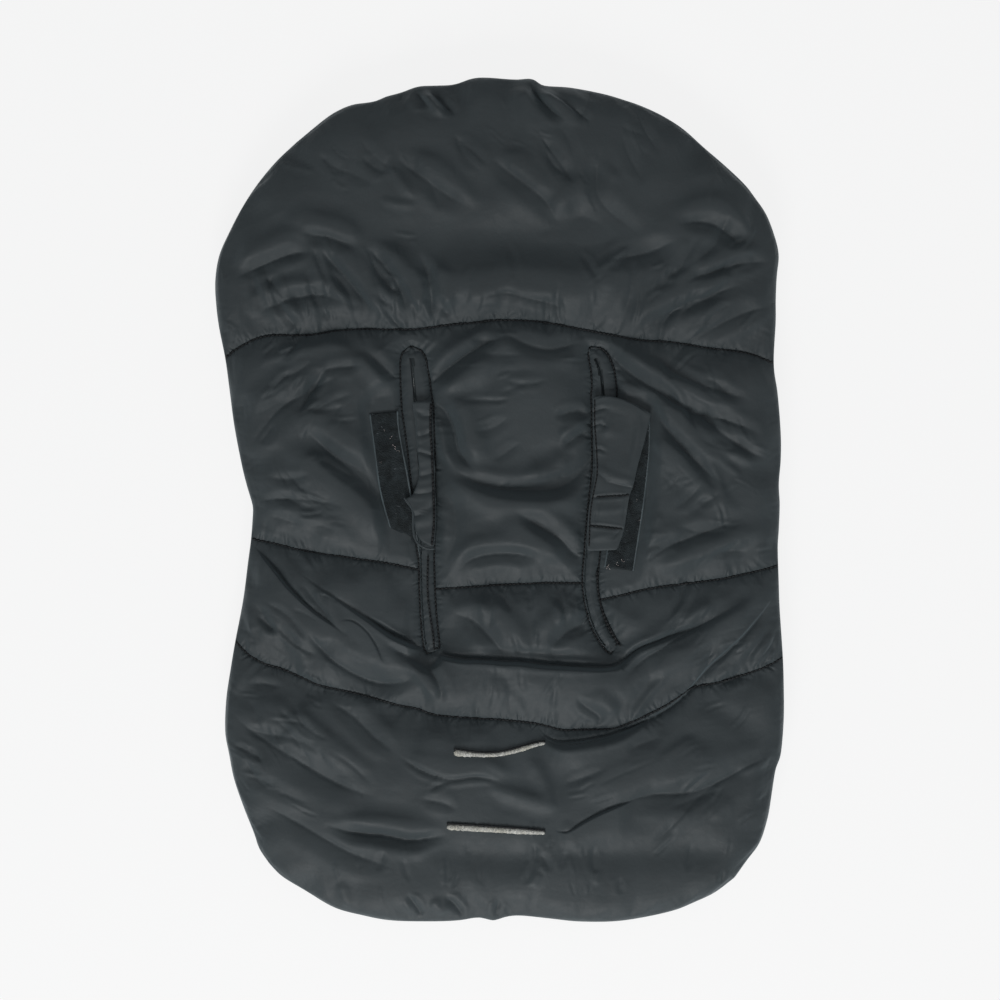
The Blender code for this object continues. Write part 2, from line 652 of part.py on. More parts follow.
def make_tube(name, radius, wall, kind):
    """A tube along the hood rim, hollow with open ends, or solid where it has no wall."""
    z = BACK_LINING_LOW / 2
    curve = bpy.data.curves.new(name, "CURVE")
    curve.dimensions = "3D"
    curve.bevel_depth = radius
    curve.bevel_resolution = RIM_ROUND_COUNT
    curve.use_fill_caps = not wall
    course = rim_course()
    spline = curve.splines.new("POLY")
    spline.points.add(len(course) - 1)
    for point, (x, y) in zip(spline.points, course):
        point.co = (x, y, z, 1)
    drawn = bpy.data.objects.new(name + "_course", curve)
    bpy.context.scene.collection.objects.link(drawn)
    bpy.context.view_layer.update()
    evaluated = drawn.evaluated_get(bpy.context.evaluated_depsgraph_get())
    mesh = bpy.data.meshes.new_from_object(evaluated)
    mesh.name = name
    bpy.data.objects.remove(drawn)
    work = bmesh.new()
    work.from_mesh(mesh)
    bpy.data.meshes.remove(mesh)
    bmesh.ops.remove_doubles(work, verts=work.verts, dist=MERGE_DISTANCE)
    mesh = mesh_of(name, work)
    mesh.shade_smooth()
    tube = add_object(name, mesh, kind)
    if wall:
        skin = tube.modifiers.new("wall", "SOLIDIFY")
        skin.thickness = wall
        skin.offset = -1


def make_hood_rim():
    padding_radius = RIM_RADIUS - RIM_CASING_THICK - CLEARANCE
    bore = RIM_ELASTIC_RADIUS + CLEARANCE
    make_tube("rim_casing", RIM_RADIUS, RIM_CASING_THICK, "nylon")
    make_tube("rim_padding", padding_radius, padding_radius - bore, "wadding")
    make_tube("rim_elastic", RIM_ELASTIC_RADIUS, 0, "elastic")


# Front cover

def front_loop(inset=0):
    """The front cover's outline, anticlockwise from the middle of the foot, moved inwards by the inset."""
    half = HALF_FRONT - inset
    mouth = MOUTH_Y - inset
    bend_y = FOOT_MARGIN - HALF_LENGTH + FOOT_CURVE_LENGTH
    depth = FOOT_CURVE_LENGTH - inset
    steps = 12
    right = []
    for step in range(steps + 1):
        angle = math.pi / 2 * step / steps
        across = math.sin(angle) ** (2 / FOOT_CURVE_POWER)
        along = math.cos(angle) ** (2 / FOOT_CURVE_POWER)
        right.append((half * across, bend_y - depth * along))
    corners = 3
    for step in range(corners + 1):
        angle = math.pi / 2 * step / corners
        x = half - MOUTH_CORNER + MOUTH_CORNER * math.cos(angle)
        right.append((x, mouth - MOUTH_CORNER + MOUTH_CORNER * math.sin(angle)))
    left = [(-x, y) for x, y in reversed(right[1:])]
    return right + left


def dish(name, inset, low, high, radius, kind, lid=True):
    """A flat body of the front cover's outline with its lower edge rounded."""
    work = bmesh.new()
    rings = []
    steps = 4
    levels = [math.pi / 2 * step / steps for step in range(steps + 1)]
    levels = [(radius * (1 - math.sin(angle)), low + radius * (1 - math.cos(angle))) for angle in levels]
    for shrink, z in [*levels, (0, high)]:
        rings.append([work.verts.new((x, y, z)) for x, y in front_loop(inset + shrink)])
    work.faces.new(reversed(rings[0]))
    for lower, upper in zip(rings, rings[1:]):
        for index in range(len(lower)):
            work.faces.new((lower[index - 1], lower[index], upper[index], upper[index - 1]))
    if lid:
        work.faces.new(rings[-1])
    return add_object(name, mesh_of(name, work), kind)


def make_front_cover():
    shell = dish("front_shell", 0, 0, FRONT_WALL_HEIGHT, FRONT_EDGE_RADIUS, "nylon", lid=False)
    shell.data.shade_smooth()
    wall = shell.modifiers.new("cloth", "SOLIDIFY")
    wall.thickness = SHELL_THICK
    wall.offset = -1
    fill_inset = SHELL_THICK + CLEARANCE + CLEARANCE
    fill_radius = FRONT_EDGE_RADIUS - SHELL_THICK
    dish("front_wadding", fill_inset, FRONT_WADDING_LOW, FRONT_WADDING_TOP, fill_radius, "wadding")
    plate("front_lining", [front_loop(FRONT_LINING_INSET)], FRONT_LINING_LOW, FRONT_LINING_TOP, "plush")


def make_mouth_binding():
    """A folded tape over the front cover's mouth edge, open downwards."""
    outside = MOUTH_Y + CLEARANCE
    inside = MOUTH_Y - SHELL_THICK - BINDING_GAP
    roof = FRONT_WALL_HEIGHT + CLEARANCE
    top = roof + BINDING_THICK / 2
    section = [
        (outside, top - BINDING_OUTER_DEPTH),
        (outside + BINDING_THICK, top - BINDING_OUTER_DEPTH),
        (outside + BINDING_THICK, top - BINDING_THICK / 2),
        (outside + BINDING_THICK / 2, top),
        (inside - BINDING_THICK / 2, top),
        (inside - BINDING_THICK, top - BINDING_THICK / 2),
        (inside - BINDING_THICK, top - BINDING_INNER_DEPTH),
        (inside, top - BINDING_INNER_DEPTH),
        (inside, roof),
        (outside, roof),
    ]
    reach = HALF_FRONT - BINDING_END_MARGIN
    plate("front_mouth_binding", [section], -reach, reach, "binding", ALONG_X)


def make_foot_gusset():
    """The wall round the foot that joins the front cover to the back panel."""
    limit = ZIP_BOTTOM_Y - TAPE_END_MARGIN
    outer = [point for point in front_loop(GUSSET_INSET - GUSSET_THICK) if point[1] < limit]
    inner = [point for point in front_loop(GUSSET_INSET) if point[1] < limit]
    outer.sort()
    inner.sort(reverse=True)
    low, high = FRONT_LINING_TOP + CLEARANCE, BACK_LINING_LOW - CLEARANCE
    plate("foot_gusset", [outer + inner], low, high, "nylon")


# Zips

def comb(first, last, spine_outer, direction, shift):
    """A row of teeth on its spine, in Y and Z; the teeth point along direction."""
    spine_inner = spine_outer + direction * SPINE_HEIGHT
    tip = CHAIN_Z + direction * (CHAIN_HALF_HEIGHT - SPINE_HEIGHT - CLEARANCE)
    count = int((last - first - TOOTH_PITCH) / TOOTH_PITCH)
    points = [(first, spine_outer), (first, spine_inner)]
    for tooth in range(count):
        y = first + TOOTH_PITCH * (tooth + 0.5) + shift
        points += [
            (y - TOOTH_ROOT / 2, spine_inner),
            (y - TOOTH_TIP / 2, tip),
            (y + TOOTH_TIP / 2, tip),
            (y + TOOTH_ROOT / 2, spine_inner),
        ]
    return points + [(last, spine_inner), (last, spine_outer)]


def make_zip(side, sign):
    x = sign * ZIP_X
    tape = (x - TAPE_THICK / 2, x + TAPE_THICK / 2)
    row = (x - CHAIN_THICK / 2, x + CHAIN_THICK / 2)
    tape_top = MOUTH_Y - TAPE_END_MARGIN
    front_edge = CHAIN_Z - CHAIN_HALF_HEIGHT - CLEARANCE
    back_edge = CHAIN_Z + CHAIN_HALF_HEIGHT + CLEARANCE
    front = [(ZIP_BOTTOM_Y, TAPE_FOOT_Z), (tape_top, TAPE_FOOT_Z), (tape_top, front_edge), (ZIP_BOTTOM_Y, front_edge)]
    roof = BACK_LINING_LOW - CLEARANCE
    back = [(ZIP_BOTTOM_Y, back_edge), (tape_top, back_edge), (tape_top, roof), (ZIP_BOTTOM_Y, roof)]
    plate(side + "_front_tape", [front], *tape, "zip_tape", ALONG_X)
    plate(side + "_back_tape", [back], *tape, "zip_tape", ALONG_X)
    low = ZIP_BOTTOM_Y + CHAIN_FOOT_MARGIN
    front_row = comb(low, CHAIN_TOP_Y, CHAIN_Z - CHAIN_HALF_HEIGHT, 1, 0)
    back_row = comb(low, CHAIN_TOP_Y, CHAIN_Z + CHAIN_HALF_HEIGHT, -1, TOOTH_PITCH / 2)
    plate(side + "_front_teeth", [front_row], *row, "zip_teeth", ALONG_X)
    plate(side + "_back_teeth", [back_row], *row, "zip_teeth", ALONG_X)
    stop = (x - STOP_THICK / 2, x + STOP_THICK / 2)
    low_stop = low - CLEARANCE - STOP_LENGTH
    make_stop(side + "_bottom_stop", x, low_stop, front_edge, -1, stop)
    make_stop(side + "_top_stop", x, tape_top - STOP_LENGTH, back_edge, 1, stop)


def make_stop(name, x, y, edge, direction, reach):
    """A clamp folded over the edge of a tape; direction points from the chain to the tape."""
    cheek = TAPE_THICK / 2 + CLEARANCE
    web = -direction * (CLEARANCE + STOP_WEB)
    base = edge + direction * STOP_HEIGHT
    nose = edge + web
    saddle = edge - direction * CLEARANCE
    section = [
        (reach[0], base), (reach[0], nose), (reach[1], nose), (reach[1], base),
        (x + cheek, base), (x + cheek, saddle), (x - cheek, saddle), (x - cheek, base),
    ]
    plate(name, [section], -y - STOP_LENGTH, -y, "zip_metal", ALONG_Y)


def make_slider(side, sign):
    """Two plates joined by the diamond, with flanges that run along the tapes and a crown for the pull."""
    x, y = sign * ZIP_X, CHAIN_TOP_Y
    half_channel = CHAIN_THICK / 2 + CHANNEL_GAP
    half_body = half_channel + SLIDER_PLATE
    half_slot = TAPE_THICK / 2 + TAPE_SLOT_GAP
    half_height = SLIDER_HEIGHT / 2
    half_length = SLIDER_LENGTH / 2
    chamfer = SLIDER_CHAMFER
    section = [
        (x - half_body + chamfer, CHAIN_Z - half_height),
        (x + half_body - chamfer, CHAIN_Z - half_height),
        (x + half_body, CHAIN_Z - half_height + chamfer),
        (x + half_body, CHAIN_Z + half_height - chamfer),
        (x + half_body - chamfer, CHAIN_Z + half_height),
        (x - half_body + chamfer, CHAIN_Z + half_height),
        (x - half_body, CHAIN_Z + half_height - chamfer),
        (x - half_body, CHAIN_Z - half_height + chamfer),
    ]
    body = plate(side + "_slider", [section], -y - half_length, -y + half_length, "zip_metal", ALONG_Y)
    half_room = CHAIN_HALF_HEIGHT + CHANNEL_GAP
    channel = block(
        side + "_channel",
        (x - half_channel, y - half_length - OVERRUN, CHAIN_Z - half_room),
        (x + half_channel, y + half_length + OVERRUN, CHAIN_Z + half_room),
    )
    slot = block(
        side + "_tape_slot",
        (x - half_slot, y - half_length - OVERRUN, CHAIN_Z - half_height - OVERRUN),
        (x + half_slot, y + half_length + OVERRUN, CHAIN_Z + half_height + OVERRUN),
    )
    diamond_y = y + DIAMOND_SETBACK
    diamond_outline = [
        (diamond_y - DIAMOND_LENGTH / 2, CHAIN_Z),
        (diamond_y, CHAIN_Z - DIAMOND_HEIGHT / 2),
        (diamond_y + DIAMOND_LENGTH / 2, CHAIN_Z),
        (diamond_y, CHAIN_Z + DIAMOND_HEIGHT / 2),
    ]
    reach = half_channel + SLIDER_PLATE / 2
    diamond = plate(side + "_diamond", [diamond_outline], x - reach, x + reach, None, ALONG_X)
    root = half_channel + SLIDER_PLATE / 2
    roof = half_body + CROWN_OPENING
    top = roof + CROWN_BAR
    leg = CROWN_HALF_LENGTH - CROWN_POST
    arch = [
        (root, -CROWN_HALF_LENGTH), (top - CROWN_CHAMFER, -CROWN_HALF_LENGTH), (top, CROWN_CHAMFER - CROWN_HALF_LENGTH),
        (top, CROWN_HALF_LENGTH - CROWN_CHAMFER), (top - CROWN_CHAMFER, CROWN_HALF_LENGTH), (root, CROWN_HALF_LENGTH),
        (root, leg), (roof, leg), (roof, -leg), (root, -leg),
    ]
    arch = [(x + sign * across, y + along) for across, along in arch]
    crown = plate(side + "_crown", [arch], CHAIN_Z - CROWN_WIDTH / 2, CHAIN_Z + CROWN_WIDTH / 2)
    boolean(body, channel)
    boolean(body, slot)
    boolean(body, diamond, "UNION")
    boolean(body, crown, "UNION")
    move_origin(body, (x, y, CHAIN_Z))
    make_pull(side, sign, x + sign * (half_body + CROWN_OPENING / 2), y)


def make_pull(side, sign, x, y):
    """The pull tab, with a window that goes round the crown and a pin that turns under it."""
    start = y + PULL_PIN / 2
    end = start - PULL_LENGTH
    neck = y - PULL_WINDOW_LENGTH - PULL_NECK_LENGTH
    nose = end + PULL_NOSE_LENGTH
    half = PULL_WIDTH / 2
    waist, tail = PULL_WAIST / 2, PULL_END_WIDTH / 2
    profile = [(start, half), (y - PULL_WINDOW_LENGTH, half), (neck, waist), (nose, tail), (end, tail / 2)]
    outline = [(along, CHAIN_Z + across) for along, across in profile]
    outline += [(along, CHAIN_Z - across) for along, across in reversed(profile)]
    window_start = y - PULL_PIN / 2
    window_end = window_start - PULL_WINDOW_LENGTH
    gap = PULL_WINDOW_WIDTH / 2
    window = [
        (window_start, CHAIN_Z - gap), (window_end, CHAIN_Z - gap),
        (window_end, CHAIN_Z + gap), (window_start, CHAIN_Z + gap),
    ]
    tab = plate(side + "_pull", [outline, window], x - PULL_THICK / 2, x + PULL_THICK / 2, "zip_metal", ALONG_X)
    move_origin(tab, (x, y, CHAIN_Z))


# Flaps

def make_left_flap():
    """The left flap, doubled under itself with its loop strip folded inside."""
    hinge_x = LEFT_SLOT_X + LEFT_FLAP_HINGE_OFFSET
    height = 2 * LEFT_FLAP_LAYER + STRIP_THICK + 2 * CLEARANCE
    low = FACING_TOP + CLEARANCE
    top = low + height
    tip = hinge_x - LEFT_FLAP_WIDTH
    upper, lower = top - LEFT_FLAP_LAYER, low + LEFT_FLAP_LAYER
    section = [
        (hinge_x, top), (tip + LEFT_FLAP_BEND, top), (tip, top - LEFT_FLAP_BEND), (tip, low + LEFT_FLAP_BEND),
        (tip + LEFT_FLAP_BEND, low), (hinge_x - LEFT_FLAP_SETBACK, low), (hinge_x - LEFT_FLAP_SETBACK, lower),
        (tip + LEFT_FLAP_LAYER, lower), (tip + LEFT_FLAP_LAYER, upper), (hinge_x, upper),
    ]
    start = -LEFT_FLAP_TOP_Y
    flap = plate("left_flap", [section], start, start + LEFT_FLAP_LENGTH, "nylon", ALONG_Y)
    loop_left = tip + LEFT_FLAP_LAYER + CLEARANCE
    loop_right = hinge_x - LEFT_FLAP_SETBACK
    loop_low = lower + CLEARANCE
    margin = LEFT_LOOP_MARGIN
    strip = block(
        "left_loop_strip",
        (loop_left, LEFT_FLAP_TOP_Y - LEFT_FLAP_LENGTH + margin, loop_low),
        (loop_right, LEFT_FLAP_TOP_Y - margin, loop_low + STRIP_THICK),
        "hook_tape",
    )
    middle = LEFT_FLAP_TOP_Y - LEFT_FLAP_LENGTH / 2
    for piece in (flap, strip):
        move_origin(piece, (hinge_x, middle, top))


def make_right_flap():
    """The right flap, closed over its slot: a tapered cloth tab with a thicker sewn edge."""
    hinge_x = RIGHT_SLOT_X + RIGHT_FLAP_HINGE_OFFSET
    low = LOOP_TOP + CLEARANCE
    top = low + RIGHT_FLAP_THICK
    end_y = RIGHT_FLAP_TOP_Y - RIGHT_FLAP_LENGTH
    outline = [
        (hinge_x, end_y),
        (hinge_x + RIGHT_FLAP_TIP_WIDTH, end_y),
        (hinge_x + RIGHT_FLAP_WIDTH - RIGHT_FLAP_EASE, end_y + RIGHT_FLAP_TAPER_LENGTH),
        (hinge_x + RIGHT_FLAP_WIDTH, RIGHT_FLAP_TOP_Y - RIGHT_FLAP_SHOULDER),
        (hinge_x + RIGHT_FLAP_WIDTH / 2, RIGHT_FLAP_TOP_Y),
        (hinge_x, RIGHT_FLAP_TOP_Y),
    ]
    flap = plate("right_flap", [outline], low, top, "nylon")
    root = block(
        "right_flap_root",
        (hinge_x + RIGHT_FLAP_ROOT_INSET, end_y + RIGHT_FLAP_ROOT_INSET, FACING_TOP + CLEARANCE),
        (hinge_x + RIGHT_FLAP_SEWN_WIDTH, RIGHT_FLAP_TOP_Y - RIGHT_FLAP_ROOT_INSET, (low + top) / 2),
    )
    boolean(flap, root, "UNION")
    centre_x = hinge_x + RIGHT_FLAP_WIDTH - RIGHT_LOOP_EDGE - STRIP_WIDTH / 2
    centre_y = RIGHT_LOOP_TOP_Y - RIGHT_LOOP_LENGTH / 2
    loop_outline = strip_outline(centre_x, centre_y, STRIP_WIDTH, RIGHT_LOOP_LENGTH, RIGHT_LOOP_LEAN)
    strip = plate("right_loop_strip", [loop_outline], LOOP_LOW, LOOP_TOP, "hook_tape")
    middle = RIGHT_FLAP_TOP_Y - RIGHT_FLAP_LENGTH / 2
    for piece in (flap, strip):
        move_origin(piece, (hinge_x, middle, top))


def make_back_panel():
    slots = slot_cutters("slot", 0)
    fill_slots = slot_cutters("fill_slot", CLEARANCE * 2)
    make_back_shell(slots)
    make_back_lining(slots)
    make_wadding("head_wadding", HEAD, ())
    make_wadding("shoulder_wadding", SHOULDERS, fill_slots[:2])
    make_wadding("seat_wadding", SEAT, fill_slots[:2])
    make_wadding("foot_wadding", FOOT, fill_slots[2:])
    make_facing("left", LEFT_SLOT_X, FACING_WIDE, FACING_WIDE)
    make_facing("right", RIGHT_SLOT_X, FACING_WIDE, FACING_WIDE)
    make_hook_strip("left_hook_strip", LEFT_SLOT_X, LEFT_HOOK_OFFSET, LEFT_HOOK_LEAN)
    make_hook_strip("right_hook_strip", RIGHT_SLOT_X, RIGHT_HOOK_OFFSET, RIGHT_HOOK_LEAN)
    make_crotch_binding("upper_crotch_binding", UPPER_CROTCH_Y)
    make_crotch_binding("lower_crotch_binding", LOWER_CROTCH_Y)
    make_hood_rim()


def main():
    make_back_panel()
    make_front_cover()
    make_mouth_binding()
    make_foot_gusset()
    for side, sign in (("left", -1), ("right", 1)):
        make_zip(side, sign)
        make_slider(side, sign)
    make_left_flap()
    make_right_flap()


clear_scene()
parts = new_collection("stroller_footmuff")
cutters = new_collection("cutters")
main()
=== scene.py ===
"""Looks of a quilted stroller footmuff that lies face down: its cloth, seams, folds, flaps, tapes, lining and zips."""

import contextlib
import functools
import math

import bmesh
import bpy
import numpy
from mathutils import Matrix, Vector
from mathutils.bvhtree import BVHTree


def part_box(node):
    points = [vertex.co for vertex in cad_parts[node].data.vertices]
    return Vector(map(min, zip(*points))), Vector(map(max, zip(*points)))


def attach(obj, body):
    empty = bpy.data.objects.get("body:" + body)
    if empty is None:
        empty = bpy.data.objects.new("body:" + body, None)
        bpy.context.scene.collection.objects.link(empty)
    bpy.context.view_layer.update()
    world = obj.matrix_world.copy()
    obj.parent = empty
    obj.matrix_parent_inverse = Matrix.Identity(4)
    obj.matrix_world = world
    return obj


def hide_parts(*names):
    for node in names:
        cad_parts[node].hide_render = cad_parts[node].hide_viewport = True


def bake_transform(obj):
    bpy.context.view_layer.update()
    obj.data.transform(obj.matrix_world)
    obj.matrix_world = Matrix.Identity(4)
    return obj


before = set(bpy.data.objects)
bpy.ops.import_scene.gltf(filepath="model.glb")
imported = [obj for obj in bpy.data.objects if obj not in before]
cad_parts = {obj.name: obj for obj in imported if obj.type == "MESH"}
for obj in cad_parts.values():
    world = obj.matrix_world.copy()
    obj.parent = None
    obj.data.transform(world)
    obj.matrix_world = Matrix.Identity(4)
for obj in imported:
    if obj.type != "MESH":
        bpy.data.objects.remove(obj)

bl_info = {
    "name": "Stroller footmuff",
    "version": (1, 0, 0),
    "blender": (4, 5, 0),
    "location": "3D View > Sidebar > Footmuff",
    "description": "Dresses the packed footmuff in quilted nylon, plush, hook tape and zips",
    "category": "Object",
}

MM = 0.001

# The photograph: size of a pixel, and the pixel over the frame's origin
PIXEL = 0.852 * MM
PHOTO_MIDDLE = (500.5, 499.5)
PHOTO_SIZE = 1000

# Heights, from the frame
LINING_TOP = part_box("back_lining")[1].z
HOOK_LOW, HOOK_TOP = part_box("left_hook_strip")[0].z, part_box("left_hook_strip")[1].z
BED_Z = HOOK_LOW - 0.3 * MM
SEAM_Z = LINING_TOP + 1.6 * MM
EDGE_Z = LINING_TOP + 1.2 * MM
PANEL_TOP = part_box("back_shell")[1].z

# How far a fold may stand above the solid panel
HIGHEST_FOLD = 4 * MM

# The back panel's cloth: breadth and length of its grid, fineness, and how near to a seam the swell is held
CLOTH_SIZE = (0.485, 0.745)
CLOTH_STEP = 5.6 * MM
SEWN_REACH = 2.4 * MM

# Outline of the back panel in the photograph, in four runs
HEAD_EDGE = (
    (296, 142), (324, 119), (338, 110), (353, 104), (374, 101), (386, 96), (401, 92), (418, 86), (436, 85), (454, 84),
    (472, 78), (487, 77), (515, 79), (529, 78), (536, 80), (543, 85), (570, 87), (602, 93), (623, 99), (643, 106),
    (664, 116), (684, 129), (704, 147),
)
RIGHT_EDGE = (
    (735, 878), (747, 861), (760, 843), (768, 818), (772, 794), (776, 769), (781, 755), (784, 720), (784, 684),
    (783, 655), (780, 610), (779, 582), (778, 547), (779, 531), (780, 504), (779, 484), (781, 460), (781, 433),
    (778, 394), (774, 364), (776, 321), (776, 300), (777, 276), (779, 254), (774, 233), (766, 213), (755, 197),
    (745, 184), (725, 165), (704, 147),
)
FOOT_EDGE = (
    (269, 864), (282, 877), (305, 891), (334, 908), (363, 916), (391, 921), (430, 922), (458, 921), (477, 918),
    (487, 919.6), (494, 921.5), (500, 919), (517, 916), (549, 919), (578, 922), (613, 922), (643, 918), (674, 911),
    (694, 903), (715, 893), (735, 878),
)
LEFT_EDGE = (
    (269, 864), (259, 849), (254, 834), (244, 809), (234, 780), (229, 755), (225, 732), (226, 700), (230, 672),
    (235, 642), (243, 600), (248, 561), (251, 538), (253, 508), (252, 503), (246, 483), (241, 462), (234, 425),
    (229, 387), (225, 358), (219, 328), (216, 305), (215, 280), (219, 255), (229, 232), (242, 207), (257, 184),
    (276, 161), (296, 142),
)

# Quilting seams, from left to right
SHOULDER_SEAM = (
    (225, 358), (234, 350), (244, 344), (257, 338), (273, 335), (296, 335), (315, 334), (340, 330), (363, 329),
    (387, 329), (410, 329), (430, 327), (454, 324), (477, 322), (494, 320), (521, 320), (545, 322), (582, 329),
    (613, 335), (643, 340), (674, 342), (704, 347), (735, 351), (755, 355), (774, 363),
)
WAIST_SEAM_LEFT = ((252, 539), (276, 544), (300, 550), (324, 554), (353, 558), (391, 564), (419, 570))
WAIST_SEAM_MIDDLE = ((436, 589), (472, 587), (500, 585), (541, 583), (584, 583))
WAIST_SEAM_RIGHT = ((600, 600), (623, 595), (653, 588), (684, 584), (715, 580), (745, 574), (778, 566))
SEAT_SEAM = (
    (235, 642), (250, 656), (265, 664), (284, 670), (307, 680), (322, 686), (345, 691), (372, 698), (401, 706),
    (418, 709), (435, 715), (468, 718), (500, 720), (537, 724), (562, 730), (582, 730), (611, 729), (631, 722),
    (649, 714), (668, 704), (684, 693), (692, 688), (721, 682), (741, 676), (766, 667), (783, 658),
)

QUILT_SEAMS = (SHOULDER_SEAM, WAIST_SEAM_LEFT, WAIST_SEAM_MIDDLE, WAIST_SEAM_RIGHT, SEAT_SEAM)

# Harness slots: the slit, and the width in pixels of the facing on each side at shares down the slit
LEFT_SLIT = (
    (411, 346), (413, 376), (415, 402), (418, 440), (420, 480), (421, 520), (421, 560), (422, 600), (424, 630),
    (427, 654),
)
LEFT_SLIT_WIDTHS = ((0, 11, 13), (0.1, 13, 16), (0.2, 14, 18), (0.45, 9, 15), (0.7, 2.5, 13), (1, 2.5, 14))
RIGHT_SLIT = (
    (590, 347), (598, 364), (602, 380), (603, 397), (601, 430), (598, 470), (592, 510), (587, 551), (585, 582),
    (588, 606), (596, 631), (611, 654),
)
RIGHT_SLIT_WIDTHS = ((0, 5, 12), (0.08, 9, 14), (0.16, 12, 14), (0.4, 6, 15), (0.65, 2.5, 13.5), (1, 2.5, 12))

SLOTS = (("left", LEFT_SLIT, LEFT_SLIT_WIDTHS), ("right", RIGHT_SLIT, RIGHT_SLIT_WIDTHS))

# Opening of each slit in pixels at shares down it
SLIT_GAPS = {
    "left": ((0, 0), (0.07, 0.2), (0.21, 0.2), (0.25, 8), (0.5, 12), (0.58, 0.6), (1, 0.1)),
    "right": ((0, 0), (0.05, 0.2), (0.24, 0.2), (1, 0.1)),
}

# Hook strips, flaps: left and right edges from the top down
LEFT_HOOK_EDGES = (
    ((369, 414), (373, 443), (379, 488), (389, 526), (400, 556)),
    ((398, 411), (400, 433), (408, 475), (414, 512), (420, 557)),
)
RIGHT_HOOK_EDGES = (
    ((622, 414), (621, 448), (617, 490), (610, 530), (604, 567)),
    ((650, 416), (650, 448), (646, 490), (640, 532), (634, 571)),
)
LEFT_FLAP_EDGES = (
    ((412, 402), (415, 420), (417, 445), (419, 475), (413, 494), (405, 500), (413, 512), (415, 529), (421, 541)),
    ((432, 401), (432, 420), (433, 440), (434, 455), (435, 470), (435, 485), (436, 505), (436, 525), (434, 548)),
)
RIGHT_FLAP_EDGES = (
    ((593, 397), (592.5, 423), (595, 453), (595, 475), (591, 497), (588, 516), (587, 551)),
    ((651, 413), (647, 431), (642, 450), (638, 464), (633, 486), (629, 498), (624, 529), (617, 550)),
)

# Rows of stitches on the lower ends of the lips and on the flaps
LOWER_LIP_ROWS = (
    ((428, 556), (427.5, 590), (430, 615), (433, 634), (434, 650)),
    ((597, 571), (598, 590), (603, 612), (611, 630), (620, 646)),
)
LEFT_FLAP_ROW = ((432, 404), (431.5, 429), (433, 452), (434, 481), (435, 520), (433, 545))
RIGHT_FLAP_ROWS = (
    ((594.5, 400), (594.5, 423), (596.5, 453), (597, 474), (593, 495), (590, 516), (589, 546)),
    ((596, 497), (616, 496), (629, 495)),
    ((590, 526), (606, 527.5), (622, 529)),
)

# Crotch slots: the lip of the lining that shows, from left to right, and its half thickness in mm along it
CROTCH_LIPS = (
    ("upper",
     ((454, 752), (464, 753), (476, 754), (488, 754.5), (499, 754), (510, 752), (521, 749), (533, 745.5), (545, 743)),
     (2.8, 1.8, 1.7, 1.8, 1.3)),
    ("lower",
     ((447, 826), (464, 827), (480, 828), (497, 829), (513, 830), (530, 831), (545, 832)),
     (2.3, 2.5, 2.3, 2.1, 1.5)),
)

